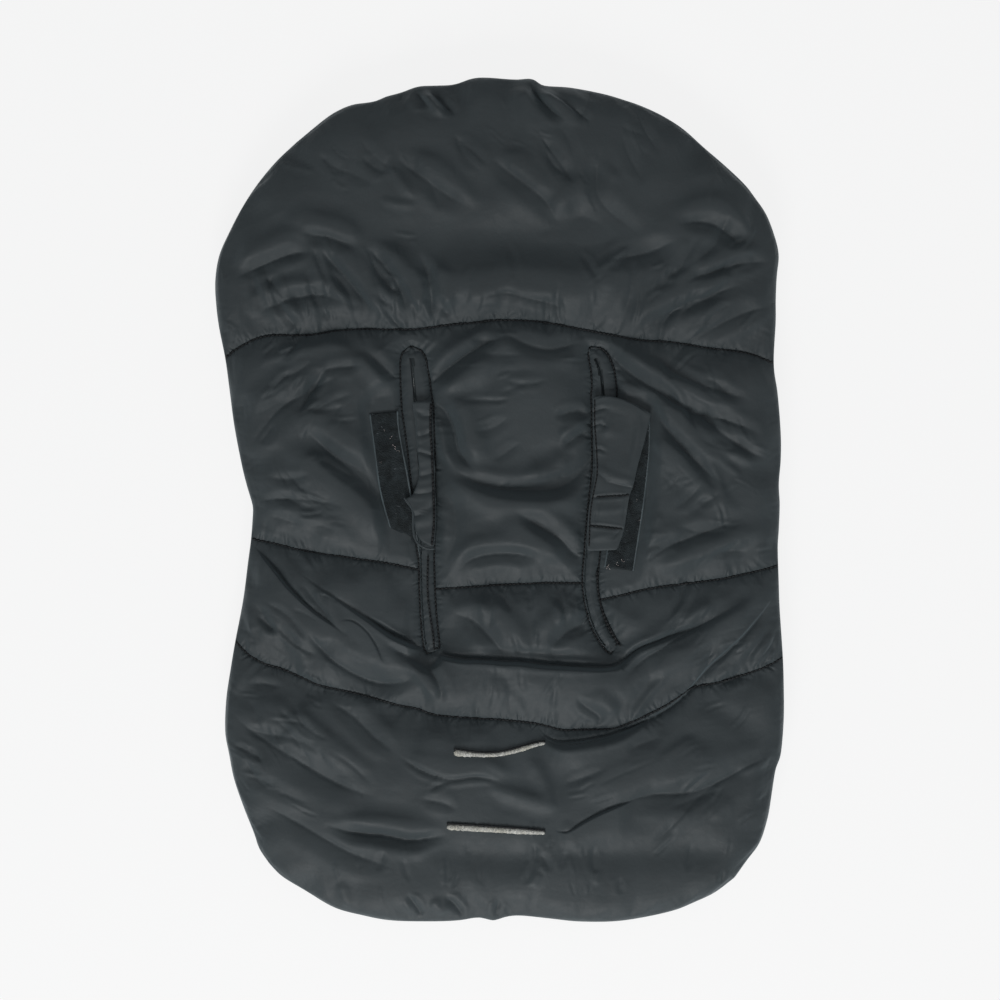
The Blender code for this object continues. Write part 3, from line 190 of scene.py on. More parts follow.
# Folds of the cloth: kind, height in mm, breadth in mm, and the route; a lap is raised below a route that runs right
FOLDS = (
    ("lap", 6.2, 26, ((292, 568), (324, 590), (353, 609), (391, 634), (418, 647), (452, 658), (500, 661), (531, 664),
                      (572, 667), (611, 667), (637, 651), (674, 637), (712, 624))),
    ("hollow", 4.6, 5, ((446, 651), (606, 658))),
    ("crease", 3.4, 3.6, ((424, 648), (452, 656), (500, 660), (531, 663), (572, 666), (611, 666), (628, 657))),
    ("crease", 2.8, 3.4, ((596, 668), (616, 666), (637, 650), (674, 636), (712, 623))),
    ("crease", 2.2, 3, ((362, 614), (391, 633), (418, 646), (440, 655))),
    ("lap", 6.0, 17, ((250, 541), (272, 566), (292, 590), (315, 611), (336, 626), (352, 640))),
    ("lap", 4.4, 10, ((337, 620), (352, 620), (366, 630), (376, 645), (384, 664))),
    ("valley", 3.4, 6, ((380, 640), (406, 656), (427, 668), (439, 684), (443, 706))),
    ("ridge", 2.6, 6, ((400, 662), (416, 668), (430, 684), (434, 704))),
    ("valley", 5.4, 11, ((304, 622), (322, 648), (345, 668), (372, 682), (398, 683), (416, 676))),
    ("ridge", 2.4, 8, ((312, 640), (330, 660), (352, 676), (384, 692))),
    ("lap", 6.0, 20, ((777, 590), (764, 612), (745, 632), (725, 653), (704, 673), (688, 692), (672, 706), (652, 718),
                      (630, 728), (600, 732))),
    ("ridge", 3.2, 9, ((764, 592), (735, 616), (704, 636), (672, 660), (650, 684))),
    ("valley", 3.6, 9, ((750, 596), (716, 618), (684, 636), (656, 652), (632, 668), (618, 690))),
    ("lap", 5.4, 14, ((537, 724), (545, 735), (558, 742), (578, 742), (602, 738), (623, 731), (646, 720), (664, 708))),
    ("crease", 2.6, 4, ((536, 730), (548, 740), (562, 745), (590, 743), (620, 734), (652, 716))),
    ("valley", 2.4, 5, ((575, 696), (586, 706), (600, 717), (596, 728))),
    ("ridge", 2.2, 5, ((590, 690), (606, 702), (618, 716))),
    ("crease", 2.0, 6, ((364, 351), (380, 366), (399, 382))),
    ("ridge", 2.4, 6, ((352, 352), (368, 370), (388, 388))),
    ("crease", 1.8, 5, ((319, 372), (340, 369), (362, 368))),
    ("ridge", 1.8, 6, ((270, 362), (300, 352), (330, 346), (356, 350))),
    ("valley", 3.4, 12, ((248, 452), (262, 430), (282, 408), (310, 392), (346, 374))),
    ("valley", 6.6, 14, ((300, 424), (334, 456), (364, 478), (390, 506), (408, 534), (418, 556))),
    ("ridge", 3.0, 8, ((290, 412), (320, 424), (346, 444), (366, 464))),
    ("ridge", 3.4, 9, ((272, 436), (312, 466), (350, 492), (384, 526), (404, 552))),
    ("crease", 2.2, 5, ((372, 482), (388, 506), (402, 534), (414, 556))),
    ("crease", 1.6, 5, ((252, 503), (280, 498), (316, 500), (346, 506))),
    ("hollow", 4.5, 30, ((450, 462), (590, 462))),
    ("valley", 4.6, 8, ((446, 462), (466, 476), (490, 486), (520, 489), (552, 487), (574, 476), (592, 456),
                        (604, 440))),
    ("ridge", 3.0, 8, ((446, 472), (484, 500), (530, 506), (572, 502), (596, 490))),
    ("ridge", 2.8, 7, ((520, 474), (548, 466), (572, 450))),
    ("valley", 2.4, 5, ((560, 448), (576, 436), (590, 430))),
    ("ridge", 1.6, 5, ((556, 436), (574, 426), (590, 420))),
    ("valley", 2.2, 5, ((552, 418), (572, 412), (590, 414))),
    ("valley", 4.0, 8, ((426, 388), (452, 366), (478, 348), (506, 338))),
    ("ridge", 3.0, 7, ((432, 396), (466, 380), (500, 360))),
    ("ridge", 2.0, 6, ((430, 372), (456, 352), (486, 334))),
    ("valley", 2.6, 8, ((500, 332), (528, 346), (552, 350), (586, 340))),
    ("valley", 4.6, 8, ((432, 398), (447, 413), (455, 433), (460, 452), (478, 474))),
    ("ridge", 3.2, 9, ((444, 392), (464, 410), (474, 438), (492, 466))),
    ("ridge", 2.2, 5, ((434, 412), (442, 430), (446, 450), (456, 468))),
    ("valley", 4.2, 8, ((594, 338), (614, 358), (635, 376), (664, 396), (694, 412), (725, 421), (766, 437))),
    ("ridge", 3.4, 8, ((604, 336), (630, 354), (662, 376), (700, 394), (745, 408))),
    ("valley", 2.6, 6, ((650, 350), (680, 376), (716, 392), (752, 400))),
    ("valley", 3.4, 8, ((622, 380), (650, 406), (674, 438), (700, 466), (728, 490))),
    ("ridge", 2.8, 7, ((640, 380), (668, 410), (698, 440), (730, 462))),
    ("ridge", 2.4, 7, ((660, 440), (684, 470), (712, 496), (744, 512))),
    ("valley", 2.6, 6, ((688, 404), (716, 430), (744, 450), (770, 460))),
    ("crease", 3.0, 5, ((413, 88), (420, 98), (430, 112))),
    ("crease", 3.2, 5, ((428, 90), (440, 101), (456, 117))),
    ("ridge", 2.6, 5, ((420, 90), (432, 104), (446, 118))),
    ("crease", 4.0, 6, ((527, 80), (538, 98), (550, 112), (566, 126))),
    ("crease", 2.6, 6, ((541, 88), (564, 106), (592, 127))),
    ("ridge", 3.0, 6, ((534, 84), (556, 106), (582, 128))),
    ("ridge", 2.4, 8, ((514, 84), (528, 112), (546, 136))),
    ("valley", 2.6, 9, ((392, 156), (420, 176), (448, 196), (472, 210))),
    ("ridge", 2.2, 8, ((410, 150), (440, 172), (468, 196), (488, 206))),
    ("valley", 3.0, 10, ((488, 158), (518, 180), (545, 202), (560, 228))),
    ("ridge", 2.6, 8, ((500, 152), (532, 176), (556, 198))),
    ("ridge", 2.6, 9, ((590, 178), (574, 192), (560, 206), (552, 222))),
    ("valley", 2.4, 7, ((536, 134), (550, 152), (566, 174), (574, 192))),
    ("valley", 2.0, 8, ((600, 150), (596, 176), (602, 204), (640, 236))),
    ("hollow", 7.6, 24, ((340, 236), (670, 240))),
    ("hollow", 4.0, 14, ((540, 212), (600, 222), (668, 256), (700, 270))),
    ("ridge", 4.0, 18, ((390, 280), (680, 288))),
    ("ridge", 3.0, 8, ((282, 220), (310, 222), (340, 228), (370, 240))),
    ("valley", 2.8, 7, ((300, 234), (330, 238), (360, 250))),
    ("ridge", 3.0, 7, ((228, 268), (247, 258), (266, 248), (296, 236), (318, 236))),
    ("valley", 2.6, 6, ((236, 280), (262, 268), (290, 256), (316, 252))),
    ("valley", 4.2, 10, ((316, 246), (338, 268), (358, 292), (374, 314))),
    ("ridge", 3.2, 7, ((330, 246), (356, 272), (376, 298), (388, 320))),
    ("valley", 3.6, 8, ((362, 244), (384, 264), (400, 288), (408, 312))),
    ("ridge", 3.0, 7, ((378, 242), (402, 264), (418, 290), (424, 314))),
    ("valley", 3.4, 7, ((420, 252), (428, 276), (432, 298), (430, 320))),
    ("ridge", 2.6, 7, ((440, 262), (446, 288), (444, 312))),
    ("valley", 2.6, 7, ((256, 314), (290, 300), (326, 296), (352, 308))),
    ("ridge", 2.2, 6, ((246, 300), (284, 286), (324, 282))),
    ("valley", 2.4, 6, ((470, 300), (500, 292), (540, 300), (570, 312))),
    ("ridge", 3.0, 8, ((664, 214), (692, 208), (715, 206), (738, 220), (757, 242))),
    ("valley", 3.0, 8, ((672, 226), (700, 222), (724, 232), (744, 254))),
    ("valley", 2.6, 9, ((602, 262), (620, 259), (646, 254), (676, 240))),
    ("ridge", 2.6, 6, ((680, 272), (705, 263), (736, 252), (764, 250))),
    ("valley", 2.8, 6, ((676, 284), (706, 274), (740, 264), (770, 262))),
    ("valley", 3.2, 9, ((636, 334), (664, 314), (700, 298), (744, 284))),
    ("ridge", 2.8, 8, ((620, 330), (650, 306), (690, 288), (730, 276))),
    ("valley", 2.4, 8, ((690, 344), (716, 326), (746, 312), (772, 306))),
    ("crease", 2.2, 3, ((396, 754), (412, 764), (426, 772), (449, 779), (472, 777), (487, 778), (506, 785))),
    ("crease", 1.8, 3, ((428, 792), (438, 785), (452, 781))),
    ("ridge", 2.8, 7, ((404, 748), (430, 762), (460, 768), (492, 766), (516, 778))),
    ("ridge", 2.6, 6, ((486, 786), (512, 794), (540, 802), (562, 806))),
    ("valley", 4.4, 7, ((452, 834), (430, 837), (410, 839), (382, 834), (353, 831), (322, 822))),
    ("ridge", 2.4, 7, ((446, 824), (420, 826), (392, 822), (360, 818), (336, 812))),
    ("valley", 3.4, 12, ((229, 708), (257, 732), (296, 758), (340, 784), (384, 800))),
    ("ridge", 2.8, 10, ((240, 690), (276, 706), (312, 730), (346, 758), (380, 776))),
    ("valley", 2.8, 8, ((326, 700), (352, 716), (376, 738), (398, 756))),
    ("crease", 1.6, 5, ((420, 798), (445, 803), (458, 811))),
    ("lap", 4.6, 14, ((553, 828), (566, 830), (584, 820), (606, 809), (634, 798))),
    ("valley", 4.0, 12, ((610, 806), (650, 794), (690, 792), (720, 780), (752, 762), (776, 752))),
    ("ridge", 3.0, 12, ((566, 800), (600, 786), (640, 772), (690, 758), (730, 738))),
    ("hollow", 4.6, 14, ((540, 852), (750, 852))),
    ("hollow", 3.6, 12, ((420, 852), (560, 856))),
    ("ridge", 1.6, 6, ((524, 756), (538, 772), (546, 790), (556, 806))),
    ("crease", 2.4, 4, ((407, 890), (416, 904), (424, 920))),
    ("crease", 2.4, 4, ((445, 894), (456, 906), (464, 920))),
    ("crease", 1.8, 4, ((500, 898), (497, 910), (494, 921))),
    ("ridge", 1.8, 5, ((430, 896), (440, 908), (446, 918))),
    ("valley", 2.4, 10, ((262, 800), (300, 822), (350, 850), (400, 868))),
    ("ridge", 3.0, 8, ((468, 600), (496, 612), (514, 630), (528, 652))),
    ("valley", 2.8, 8, ((450, 612), (474, 622), (494, 642), (508, 660))),
    ("ridge", 3.0, 8, ((530, 640), (552, 618), (580, 608), (604, 606))),
    ("valley", 2.6, 7, ((548, 652), (566, 632), (590, 622))),
    ("valley", 4.2, 8, ((512, 510), (536, 524), (558, 538), (574, 554), (590, 560))),
    ("ridge", 3.0, 9, ((496, 516), (524, 534), (548, 548), (566, 562))),
    ("valley", 2.6, 7, ((458, 572), (470, 560), (490, 554), (520, 554), (544, 560))),
    ("ridge", 2.4, 7, ((452, 556), (480, 542), (516, 540), (548, 548))),
    ("valley", 2.8, 8, ((640, 562), (672, 544), (704, 532), (746, 516))),
    ("ridge", 2.4, 8, ((650, 574), (690, 554), (730, 538), (768, 528))),
    ("valley", 1.4, 7, ((440, 486), (454, 506), (456, 540), (444, 566))),
    ("ridge", 1.4, 7, ((436, 500), (444, 520), (442, 548))),
)

# Loose creases: middle, spread and heading in pixels and degrees, how many, length, height and breadth
CREASE_ZONES = (
    ((300, 300), (70, 30), 115, 16, (26, 60), (0.8, 2.0), (3, 6)),
    ((400, 296), (60, 30), 110, 14, (24, 50), (0.8, 2.0), (3, 5)),
    ((520, 290), (80, 26), 95, 10, (20, 44), (0.5, 1.3), (3, 6)),
    ((700, 290), (60, 40), 35, 16, (30, 70), (0.8, 1.8), (3, 6)),
    ((580, 130), (90, 40), 125, 12, (26, 60), (0.5, 1.5), (3, 6)),
    ((420, 160), (100, 40), 140, 12, (30, 60), (0.5, 1.4), (3, 7)),
    ((290, 400), (44, 44), 40, 14, (26, 60), (0.7, 1.8), (3, 6)),
    ((320, 500), (50, 34), 150, 12, (26, 60), (0.6, 1.6), (3, 6)),
    ((510, 420), (56, 70), 20, 10, (24, 50), (0.5, 1.2), (3, 6)),
    ((700, 430), (50, 50), 135, 16, (30, 70), (0.7, 1.7), (3, 6)),
    ((690, 530), (60, 30), 25, 12, (26, 60), (0.6, 1.5), (3, 6)),
    ((300, 620), (44, 40), 135, 14, (26, 60), (0.7, 1.8), (3, 6)),
    ((520, 625), (60, 26), 100, 10, (20, 40), (0.6, 1.5), (3, 5)),
    ((510, 690), (80, 22), 95, 12, (18, 36), (0.4, 1.0), (3, 5)),
    ((720, 640), (46, 36), 40, 14, (26, 60), (0.7, 1.7), (3, 6)),
    ((300, 740), (60, 44), 145, 16, (30, 70), (0.6, 1.6), (3, 7)),
    ((660, 770), (90, 44), 25, 16, (30, 70), (0.6, 1.5), (3, 7)),
    ((500, 870), (180, 30), 95, 18, (16, 40), (0.4, 1.2), (3, 5)),
)

# How the rims of the back cloth and of the front cover turn in: out and up in mm
HEM_STEPS = ((0.4, -1.1), (-0.9, -1.6), (-4.2, -1.3))
FRONT_BRIM_STEPS = ((2.6, 0.9), (2.2, 2.0), (1.5, 2.8), (0.5, 2.9), (-0.3, 2.2), (-1.6, 1.2), (-2.4, 0.2))

# The front cover: where it is quilted across, how far its foot corners curve, and the level of its plush
FRONT_SEAM_ROWS = (-0.215, -0.085)
FRONT_CURVE = 84 * MM
FRONT_PLUSH_Z = 12.4 * MM

# The hood's rim: where it starts above the middle, and how far it lies inside the panel's edge
RIM_START = 66 * MM
RIM_INSET = 17 * MM

# Welts inside the harness slots: distance from the slit, drop under the lining's top, and radius
WELT_REACH = 2.3 * MM
WELT_DROP = 2.2 * MM
WELT_RADIUS = 1.5 * MM

# The closed flap: level of its middle, and half its thickness
CLOSED_FLAP_Z = 37.8 * MM
CLOSED_FLAP_HALF = 1.3 * MM

# Hooks on each strip, and how far the left strip's lower end sinks under a fold
HOOK_COUNT = 700
LEFT_STRIP_SINK = 4.4 * MM

# Gathers along the seams: spacing, length, depth and breadth in mm, of the long soft ones and of the short sharp ones
SOFT_PUCKERS = ((7, 20), (7, 24), (0.3, 1.0), (1.5, 2.8))
SHARP_PUCKERS = ((5, 17), (3, 12), (0.4, 1.1), (0.7, 1.2))


class FootmuffSizes(bpy.types.PropertyGroup):
    crown: bpy.props.FloatProperty(
        name="Quilt crown", description="How far the quilted cloth stands above its seams",
        default=7.4 * MM, subtype="DISTANCE")
    seam_reach: bpy.props.FloatProperty(
        name="Seam reach", description="Distance from a seam at which the wadding is full",
        default=30 * MM, subtype="DISTANCE")
    fold_strength: bpy.props.FloatProperty(
        name="Folds", description="Scale of the rolls and hollows of the cloth", default=1.0, subtype="FACTOR")
    crease_strength: bpy.props.FloatProperty(
        name="Creases", description="Scale of the ridges and creases of the cloth", default=1.5, subtype="FACTOR")
    pucker_strength: bpy.props.FloatProperty(
        name="Puckers", description="Scale of the gathers along the seams", default=1.0, subtype="FACTOR")
    swell: bpy.props.FloatProperty(
        name="Swell", description="Furthest that the simulated wadding moves the cloth",
        default=6 * MM, subtype="DISTANCE")
    stitch: bpy.props.FloatProperty(
        name="Stitch", description="Length of one stitch", default=3.4 * MM, subtype="DISTANCE")
    thread: bpy.props.FloatProperty(
        name="Thread", description="Thickness of the sewing thread", default=0.95 * MM, subtype="DISTANCE")


class FootmuffColours(bpy.types.PropertyGroup):
    nylon: bpy.props.FloatVectorProperty(
        name="Nylon", description="Outer cloth", default=(0.036, 0.0445, 0.048), subtype="COLOR", size=3)
    plush: bpy.props.FloatVectorProperty(
        name="Plush", description="Lining", default=(0.76, 0.70, 0.58), subtype="COLOR", size=3)
    tape: bpy.props.FloatVectorProperty(
        name="Tape", description="Hook, loop and zip tape", default=(0.008, 0.0105, 0.0115), subtype="COLOR", size=3)
    thread: bpy.props.FloatVectorProperty(
        name="Thread", description="Sewing thread", default=(0.006, 0.007, 0.008), subtype="COLOR", size=3)


def sizes():
    return bpy.context.scene.footmuff_sizes


def colours():
    return bpy.context.scene.footmuff_colours


# Shader maths

class Socket:
    """An output socket that adds Math nodes when it is used in an expression."""

    def __init__(self, tree, output):
        self.tree = tree
        self.output = output

    def maths(self, operation, *values):
        return self.tree.add("ShaderNodeMath", {"operation": operation}, dict(enumerate(values)))

    def __add__(self, other):
        return self.maths("ADD", self, other)

    def __radd__(self, other):
        return self.maths("ADD", other, self)

    def __sub__(self, other):
        return self.maths("SUBTRACT", self, other)

    def __rsub__(self, other):
        return self.maths("SUBTRACT", other, self)

    def __mul__(self, other):
        return self.maths("MULTIPLY", self, other)

    def __rmul__(self, other):
        return self.maths("MULTIPLY", other, self)


class Finish:
    """A material under construction: its Principled shader and a method that adds any other node."""

    def __init__(self, name, roughness=0.5, **constants):
        self.material = bpy.data.materials.new(name)
        self.material.use_nodes = True
        self.nodes = self.material.node_tree.nodes
        self.links = self.material.node_tree.links
        self.shader = self.nodes["Principled BSDF"]
        self.set("Roughness", roughness)
        for key, value in constants.items():
            self.set(key.replace("_", " "), value)
        self.place = self.add("ShaderNodeTexCoord", {}, {}, "Object")

    def add(self, kind, settings, inputs, output=0):
        node = self.nodes.new(kind)
        for key, value in settings.items():
            setattr(node, key, value)
        for key, value in inputs.items():
            self.feed(node.inputs[key], value)
        return Socket(self, node.outputs[output])

    def feed(self, target, value):
        if isinstance(value, Socket):
            self.links.new(value.output, target)
        else:
            target.default_value = value

    def set(self, key, value):
        self.feed(self.shader.inputs[key], value)

    def noise(self, scale, detail=3, distortion=0):
        inputs = {"Vector": self.place, "Scale": scale, "Detail": detail, "Distortion": distortion}
        return self.add("ShaderNodeTexNoise", {}, inputs, "Fac")

    def wave(self, scale, direction):
        inputs = {"Vector": self.place, "Scale": scale}
        return self.add("ShaderNodeTexWave", {"bands_direction": direction}, inputs, "Fac")

    def span(self, value, low, high, to_low=0, to_high=1):
        inputs = {"Value": value, "From Min": low, "From Max": high, "To Min": to_low, "To Max": to_high}
        return self.add("ShaderNodeMapRange", {}, inputs, "Result")

    def mix(self, factor, first, second):
        return self.add("ShaderNodeMix", {"data_type": "RGBA"}, {0: factor, 6: first, 7: second}, 2)

    def bump(self, height, distance, strength):
        inputs = {"Height": height, "Distance": distance, "Strength": strength}
        self.set("Normal", self.add("ShaderNodeBump", {}, inputs, "Normal"))


def shade(colour, factor):
    return (*(channel * factor for channel in colour), 1)


def nylon_finish():
    """Thin woven nylon: a fine weave, a soft sheen that changes along the cloth, and small crinkles."""
    base = tuple(colours().nylon)
    made = Finish("nylon_cloth", Specular_IOR_Level=0.4)
    made.set("Sheen Weight", 0.2)
    made.set("Sheen Roughness", 0.6)
    made.set("Sheen Tint", (0.7, 0.88, 0.95, 1))
    patches = made.noise(14, 3)
    streaks = made.noise(90, 4, 0.6)
    tone = made.span(patches * 0.6 + streaks * 0.4, 0.3, 0.7)
    made.set("Base Color", made.mix(tone, shade(base, 0.86), shade(base, 1.14)))
    made.set("Roughness", made.span(streaks, 0.3, 0.7, 0.52, 0.64))
    weave = made.wave(330, "X") + made.wave(330, "Y")
    crinkle = made.noise(160, 4, 0.8)
    soft = made.noise(48, 3, 0.5)
    made.bump(weave * 0.05 + crinkle * 0.35 + soft * 0.9, 1.2 * MM, 0.55)
    return made.material


def plush_finish():
    """Short cream pile, brushed in patches."""
    base = tuple(colours().plush)
    made = Finish("cream_plush", 0.95, Sheen_Weight=0.4, Specular_IOR_Level=0.2)
    pile = made.noise(900, 2)
    tufts = made.noise(260, 4, 1.0)
    brushed = made.noise(22, 3)
    tone = made.span(brushed * 0.4 + tufts * 0.6, 0.35, 0.65)
    made.set("Base Color", made.mix(tone, shade(base, 0.66), shade(base, 1.12)))
    made.bump(pile * 0.5 + tufts, 3.2 * MM, 0.9)
    return made.material


def hook_finish():
    """Woven tape with a field of small stiff hooks that catches lint."""
    base = tuple(colours().tape)
    made = Finish("hook_tape", 0.75, Specular_IOR_Level=0.25)
    hooks = made.add("ShaderNodeTexVoronoi", {}, {"Vector": made.place, "Scale": 850}, "Distance")
    patches = made.noise(120, 4, 0.8)
    lint = made.span(made.noise(420, 5, 0.4), 0.66, 0.78)
    ground = made.mix(made.span(patches, 0.35, 0.7), shade(base, 1.4), shade(base, 3.4))
    made.set("Base Color", made.mix(lint * 0.6, ground, (0.19, 0.21, 0.23, 1)))
    made.bump((1 - hooks) * 0.8 + patches * 0.4, 0.8 * MM, 0.9)
    return made.material


def selvedge_finish():
    """Smooth woven edge of the hook tape, with a painted sheen: it is coloured far lighter than the tape."""
    base = tuple(colours().tape)
    made = Finish("tape_selvedge", 0.5)
    ribs = made.wave(600, "DIAGONAL")
    wear_and_sheen = made.noise(70, 3)
    # painted sheen: the edge is coloured 7.5 to 13 times lighter than the tape, in patches of noise
    made.set("Base Color", made.mix(made.span(wear_and_sheen, 0.3, 0.7), shade(base, 7.5), shade(base, 13.0)))
    made.bump(ribs, 0.25 * MM, 0.6)
    return made.material


def zip_tape_finish():
    base = tuple(colours().tape)
    made = Finish("zip_tape_weave", 0.8)
    ribs = made.wave(520, "Y") * 0.6 + made.wave(700, "Z") * 0.4
    made.set("Base Color", made.mix(ribs, shade(base, 0.8), shade(base, 1.8)))
    made.bump(ribs, 0.3 * MM, 0.8)
    return made.material


def teeth_finish():
    made = Finish("moulded_teeth", 0.35)
    wear_and_sheen = made.noise(300, 4)
    made.set("Base Color", made.mix(made.span(wear_and_sheen, 0.35, 0.7), (0.012, 0.013, 0.014, 1), (0.035, 0.037, 0.04, 1)))
    made.set("Roughness", made.span(wear_and_sheen, 0.3, 0.7, 0.28, 0.45))
    made.bump(made.noise(1200, 2), 0.05 * MM, 0.4)
    return made.material


def metal_finish():
    """Black enamel on cast zinc, worn thin in spots."""
    made = Finish("enamelled_metal", 0.35, Metallic=0.9)
    wear_and_sheen = made.noise(220, 5, 0.5)
    worn = made.span(wear_and_sheen, 0.58, 0.68)
    made.set("Base Color", made.mix(worn, (0.05, 0.052, 0.056, 1), (0.2, 0.2, 0.2, 1)))
    made.set("Roughness", made.span(wear_and_sheen, 0.3, 0.7, 0.26, 0.44))
    made.bump(made.noise(900, 2), 0.04 * MM, 0.35)
    return made.material


def binding_finish():
    base = tuple(colours().nylon)
    made = Finish("ribbed_binding", 0.65)
    ribs = made.wave(420, "X")
    made.set("Base Color", made.mix(ribs, shade(base, 0.5), shade(base, 1.0)))
    made.bump(ribs, 0.35 * MM, 0.8)
    return made.material


def thread_finish():
    base = tuple(colours().thread)
    made = Finish("sewing_thread", 0.6)
    made.set("Base Color", made.mix(made.noise(500, 3), shade(base, 0.6), shade(base, 2.0)))
    made.bump(made.wave(1500, "DIAGONAL"), 0.1 * MM, 0.6)
    return made.material


def lip_finish():
    """Raw edge of the cream lining, flecked with dark grey in fine mottling."""
    made = Finish("lining_edge", 0.9)
    fuzz = made.noise(700, 5, 1.0)
    soil = made.noise(90, 4)
    light = made.mix(made.span(soil, 0.4, 0.65), (0.62, 0.60, 0.52, 1), (0.80, 0.79, 0.74, 1))
    # fine dark grey flecks are mixed into the cream by the fuzz noise
    made.set("Base Color", made.mix(made.span(fuzz, 0.3, 0.6), (0.22, 0.23, 0.22, 1), light))
    made.bump(fuzz, 1.0 * MM, 0.9)
    return made.material


def lint_finish():
    made = Finish("lint", 0.9)
    made.set("Base Color", made.mix(made.noise(800, 2), (0.75, 0.55, 0.52, 1), (0.85, 0.82, 0.8, 1)))
    return made.material


# Lines traced in the photograph

def place(pixel):
    """A pixel of the photograph as a point of the plan, in metres."""
    return ((pixel[0] - PHOTO_MIDDLE[0]) * PIXEL, (PHOTO_MIDDLE[1] - pixel[1]) * PIXEL)


def smooth_line(points, step=2 * MM):
    """Points at an even spacing on a smooth curve through the given ones."""
    points = numpy.array(points, float)
    padded = numpy.vstack((2 * points[0] - points[1], points, 2 * points[-1] - points[-2]))
    made = []
    for index in range(len(points) - 1):
        before, start, end, after = padded[index:index + 4]
        count = max(int(numpy.linalg.norm(end - start) / step), 1)
        for part in numpy.arange(count) / count:
            curve = (2 * before - 5 * start + 4 * end - after) * part ** 2
            curve += (3 * start - before - 3 * end + after) * part ** 3
            made.append(0.5 * (2 * start + (end - before) * part + curve))
    made.append(points[-1])
    return numpy.array(made)


def trace(pixels, step=2 * MM):
    return smooth_line([place(pixel) for pixel in pixels], step)


def stations(line):
    """Distance along a line at each of its points."""
    return numpy.concatenate(([0], numpy.cumsum(numpy.linalg.norm(numpy.diff(line, axis=0), axis=1))))


def at_shares(line, shares):
    """Points of a line at shares of its length."""
    run = stations(line)
    wanted = numpy.asarray(shares) * run[-1]
    return numpy.stack([numpy.interp(wanted, run, line[:, axis]) for axis in range(line.shape[1])], axis=1)


def measure(points, line, reach=math.inf, chunk=10):
    """For each point: distance to a line, positive on its left; share of the way along it; the way to its left."""
    steps = numpy.linalg.norm(numpy.diff(line, axis=0), axis=1)
    line = line[numpy.concatenate(([True], steps > 0))]
    runs = numpy.diff(line, axis=0)
    lengths = numpy.linalg.norm(runs, axis=1)
    before = numpy.concatenate(([0], numpy.cumsum(lengths)))
    best = numpy.full(len(points), numpy.inf)
    signed = numpy.full(len(points), numpy.inf)
    share = numpy.zeros(len(points))
    away = numpy.zeros((len(points), 2))
    for first in range(0, len(runs), chunk):
        last = min(first + chunk, len(runs))
        chosen = numpy.flatnonzero(near(points, line[first:last + 1], reach))
        spots = points[chosen]
        for index in range(first, last if len(chosen) else first):
            run, length = runs[index], lengths[index]
            offset = spots - line[index]
            part = numpy.clip(offset @ run / length ** 2, 0, 1)
            gap = offset - part[:, None] * run
            distance = numpy.hypot(gap[:, 0], gap[:, 1])
            nearer = distance < best[chosen]
            where = chosen[nearer]
            best[where] = distance[nearer]
            share[where] = (before[index] + part[nearer] * length) / before[-1]
            side = run[0] * offset[nearer, 1] - run[1] * offset[nearer, 0]
            signed[where] = numpy.where(side < 0, -distance[nearer], distance[nearer])
            away[where] = numpy.array((-run[1], run[0])) / length
    return signed, share, away


def near(points, line, reach):
    """Which points lie within a line's box grown by a reach."""
    low, high = line.min(0) - reach, line.max(0) + reach
    return numpy.all((points > low) & (points < high), axis=1)


def clearance(points, lines, reach=math.inf, most=math.inf):
    """Distance from each point to the nearest of some lines, or the most where none is within reach."""
    gap = numpy.full(len(points), most)
    for line in lines:
        gap = numpy.minimum(gap, numpy.abs(measure(points, line, reach)[0]))
    return gap


def headings(line):
    """Unit vectors along a line at each of its points."""
    runs = numpy.gradient(line, axis=0)
    return runs / numpy.linalg.norm(runs, axis=1)[:, None]


def ease(value, low=0.0, high=1.0):
    part = numpy.clip((value - low) / (high - low), 0, 1)
    return part * part * (3 - 2 * part)


def bell(value):
    return numpy.exp(-value ** 2)


def dome(part):
    """A quarter circle's rise at a share of its way."""
    return numpy.sqrt(1 - (1 - numpy.clip(part, 0, 1)) ** 2)


def drift(points, wavelength, seed):
    """A smooth random field of about unit size."""
    draw = numpy.random.default_rng(seed)
    total = numpy.zeros(len(points))
    count = 9
    for _ in range(count):
        angle, phase = draw.uniform(0, 2 * math.pi, 2)
        wave = wavelength * draw.uniform(0.7, 1.5)
        along = points @ numpy.array((math.cos(angle), math.sin(angle)))
        total += numpy.sin(2 * math.pi * along / wave + phase)
    return total / math.sqrt(count / 2)


# Height of the back panel's cloth

def facing_lines():
    """The stitched edges of the slots' facings."""
    return [edge for _, slit, widths in SLOTS for edge in facing_edges(slit, widths)]


def panel_seams():
    """The quilting seams and the stitched edges of the slots' facings."""
    return [trace(route, 4 * MM) for route in QUILT_SEAMS] + facing_lines()


def facing_widths(widths, shares):
    table = numpy.array(widths)
    left = numpy.interp(shares, table[:, 0], table[:, 1]) * PIXEL
    right = numpy.interp(shares, table[:, 0], table[:, 2]) * PIXEL
    arch = 0.05
    round_top, round_foot = dome(shares / arch), dome((1 - shares) / arch * 2)
    return left * round_top * round_foot, right * round_top * round_foot


def slit_frame(slit, count):
    """Points down a slit and the direction to its right in the photograph at each."""
    shares = numpy.linspace(0, 1, count)
    line = at_shares(trace(slit), shares)
    runs = headings(line)
    right = numpy.stack((-runs[:, 1], runs[:, 0]), axis=1)
    return shares, line, right


def facing_edges(slit, widths):
    shares, line, right = slit_frame(slit, 60)
    left_width, right_width = facing_widths(widths, shares)
    return line - right * left_width[:, None], line + right * right_width[:, None]


def outline_run():
    """The back panel's outline, anticlockwise from the left end of the foot."""
    foot, right, head, left = (trace(route, 3 * MM) for route in (FOOT_EDGE, RIGHT_EDGE, HEAD_EDGE, LEFT_EDGE))
    return numpy.vstack((foot, right[1:], head[::-1][1:], left[::-1][1:]))


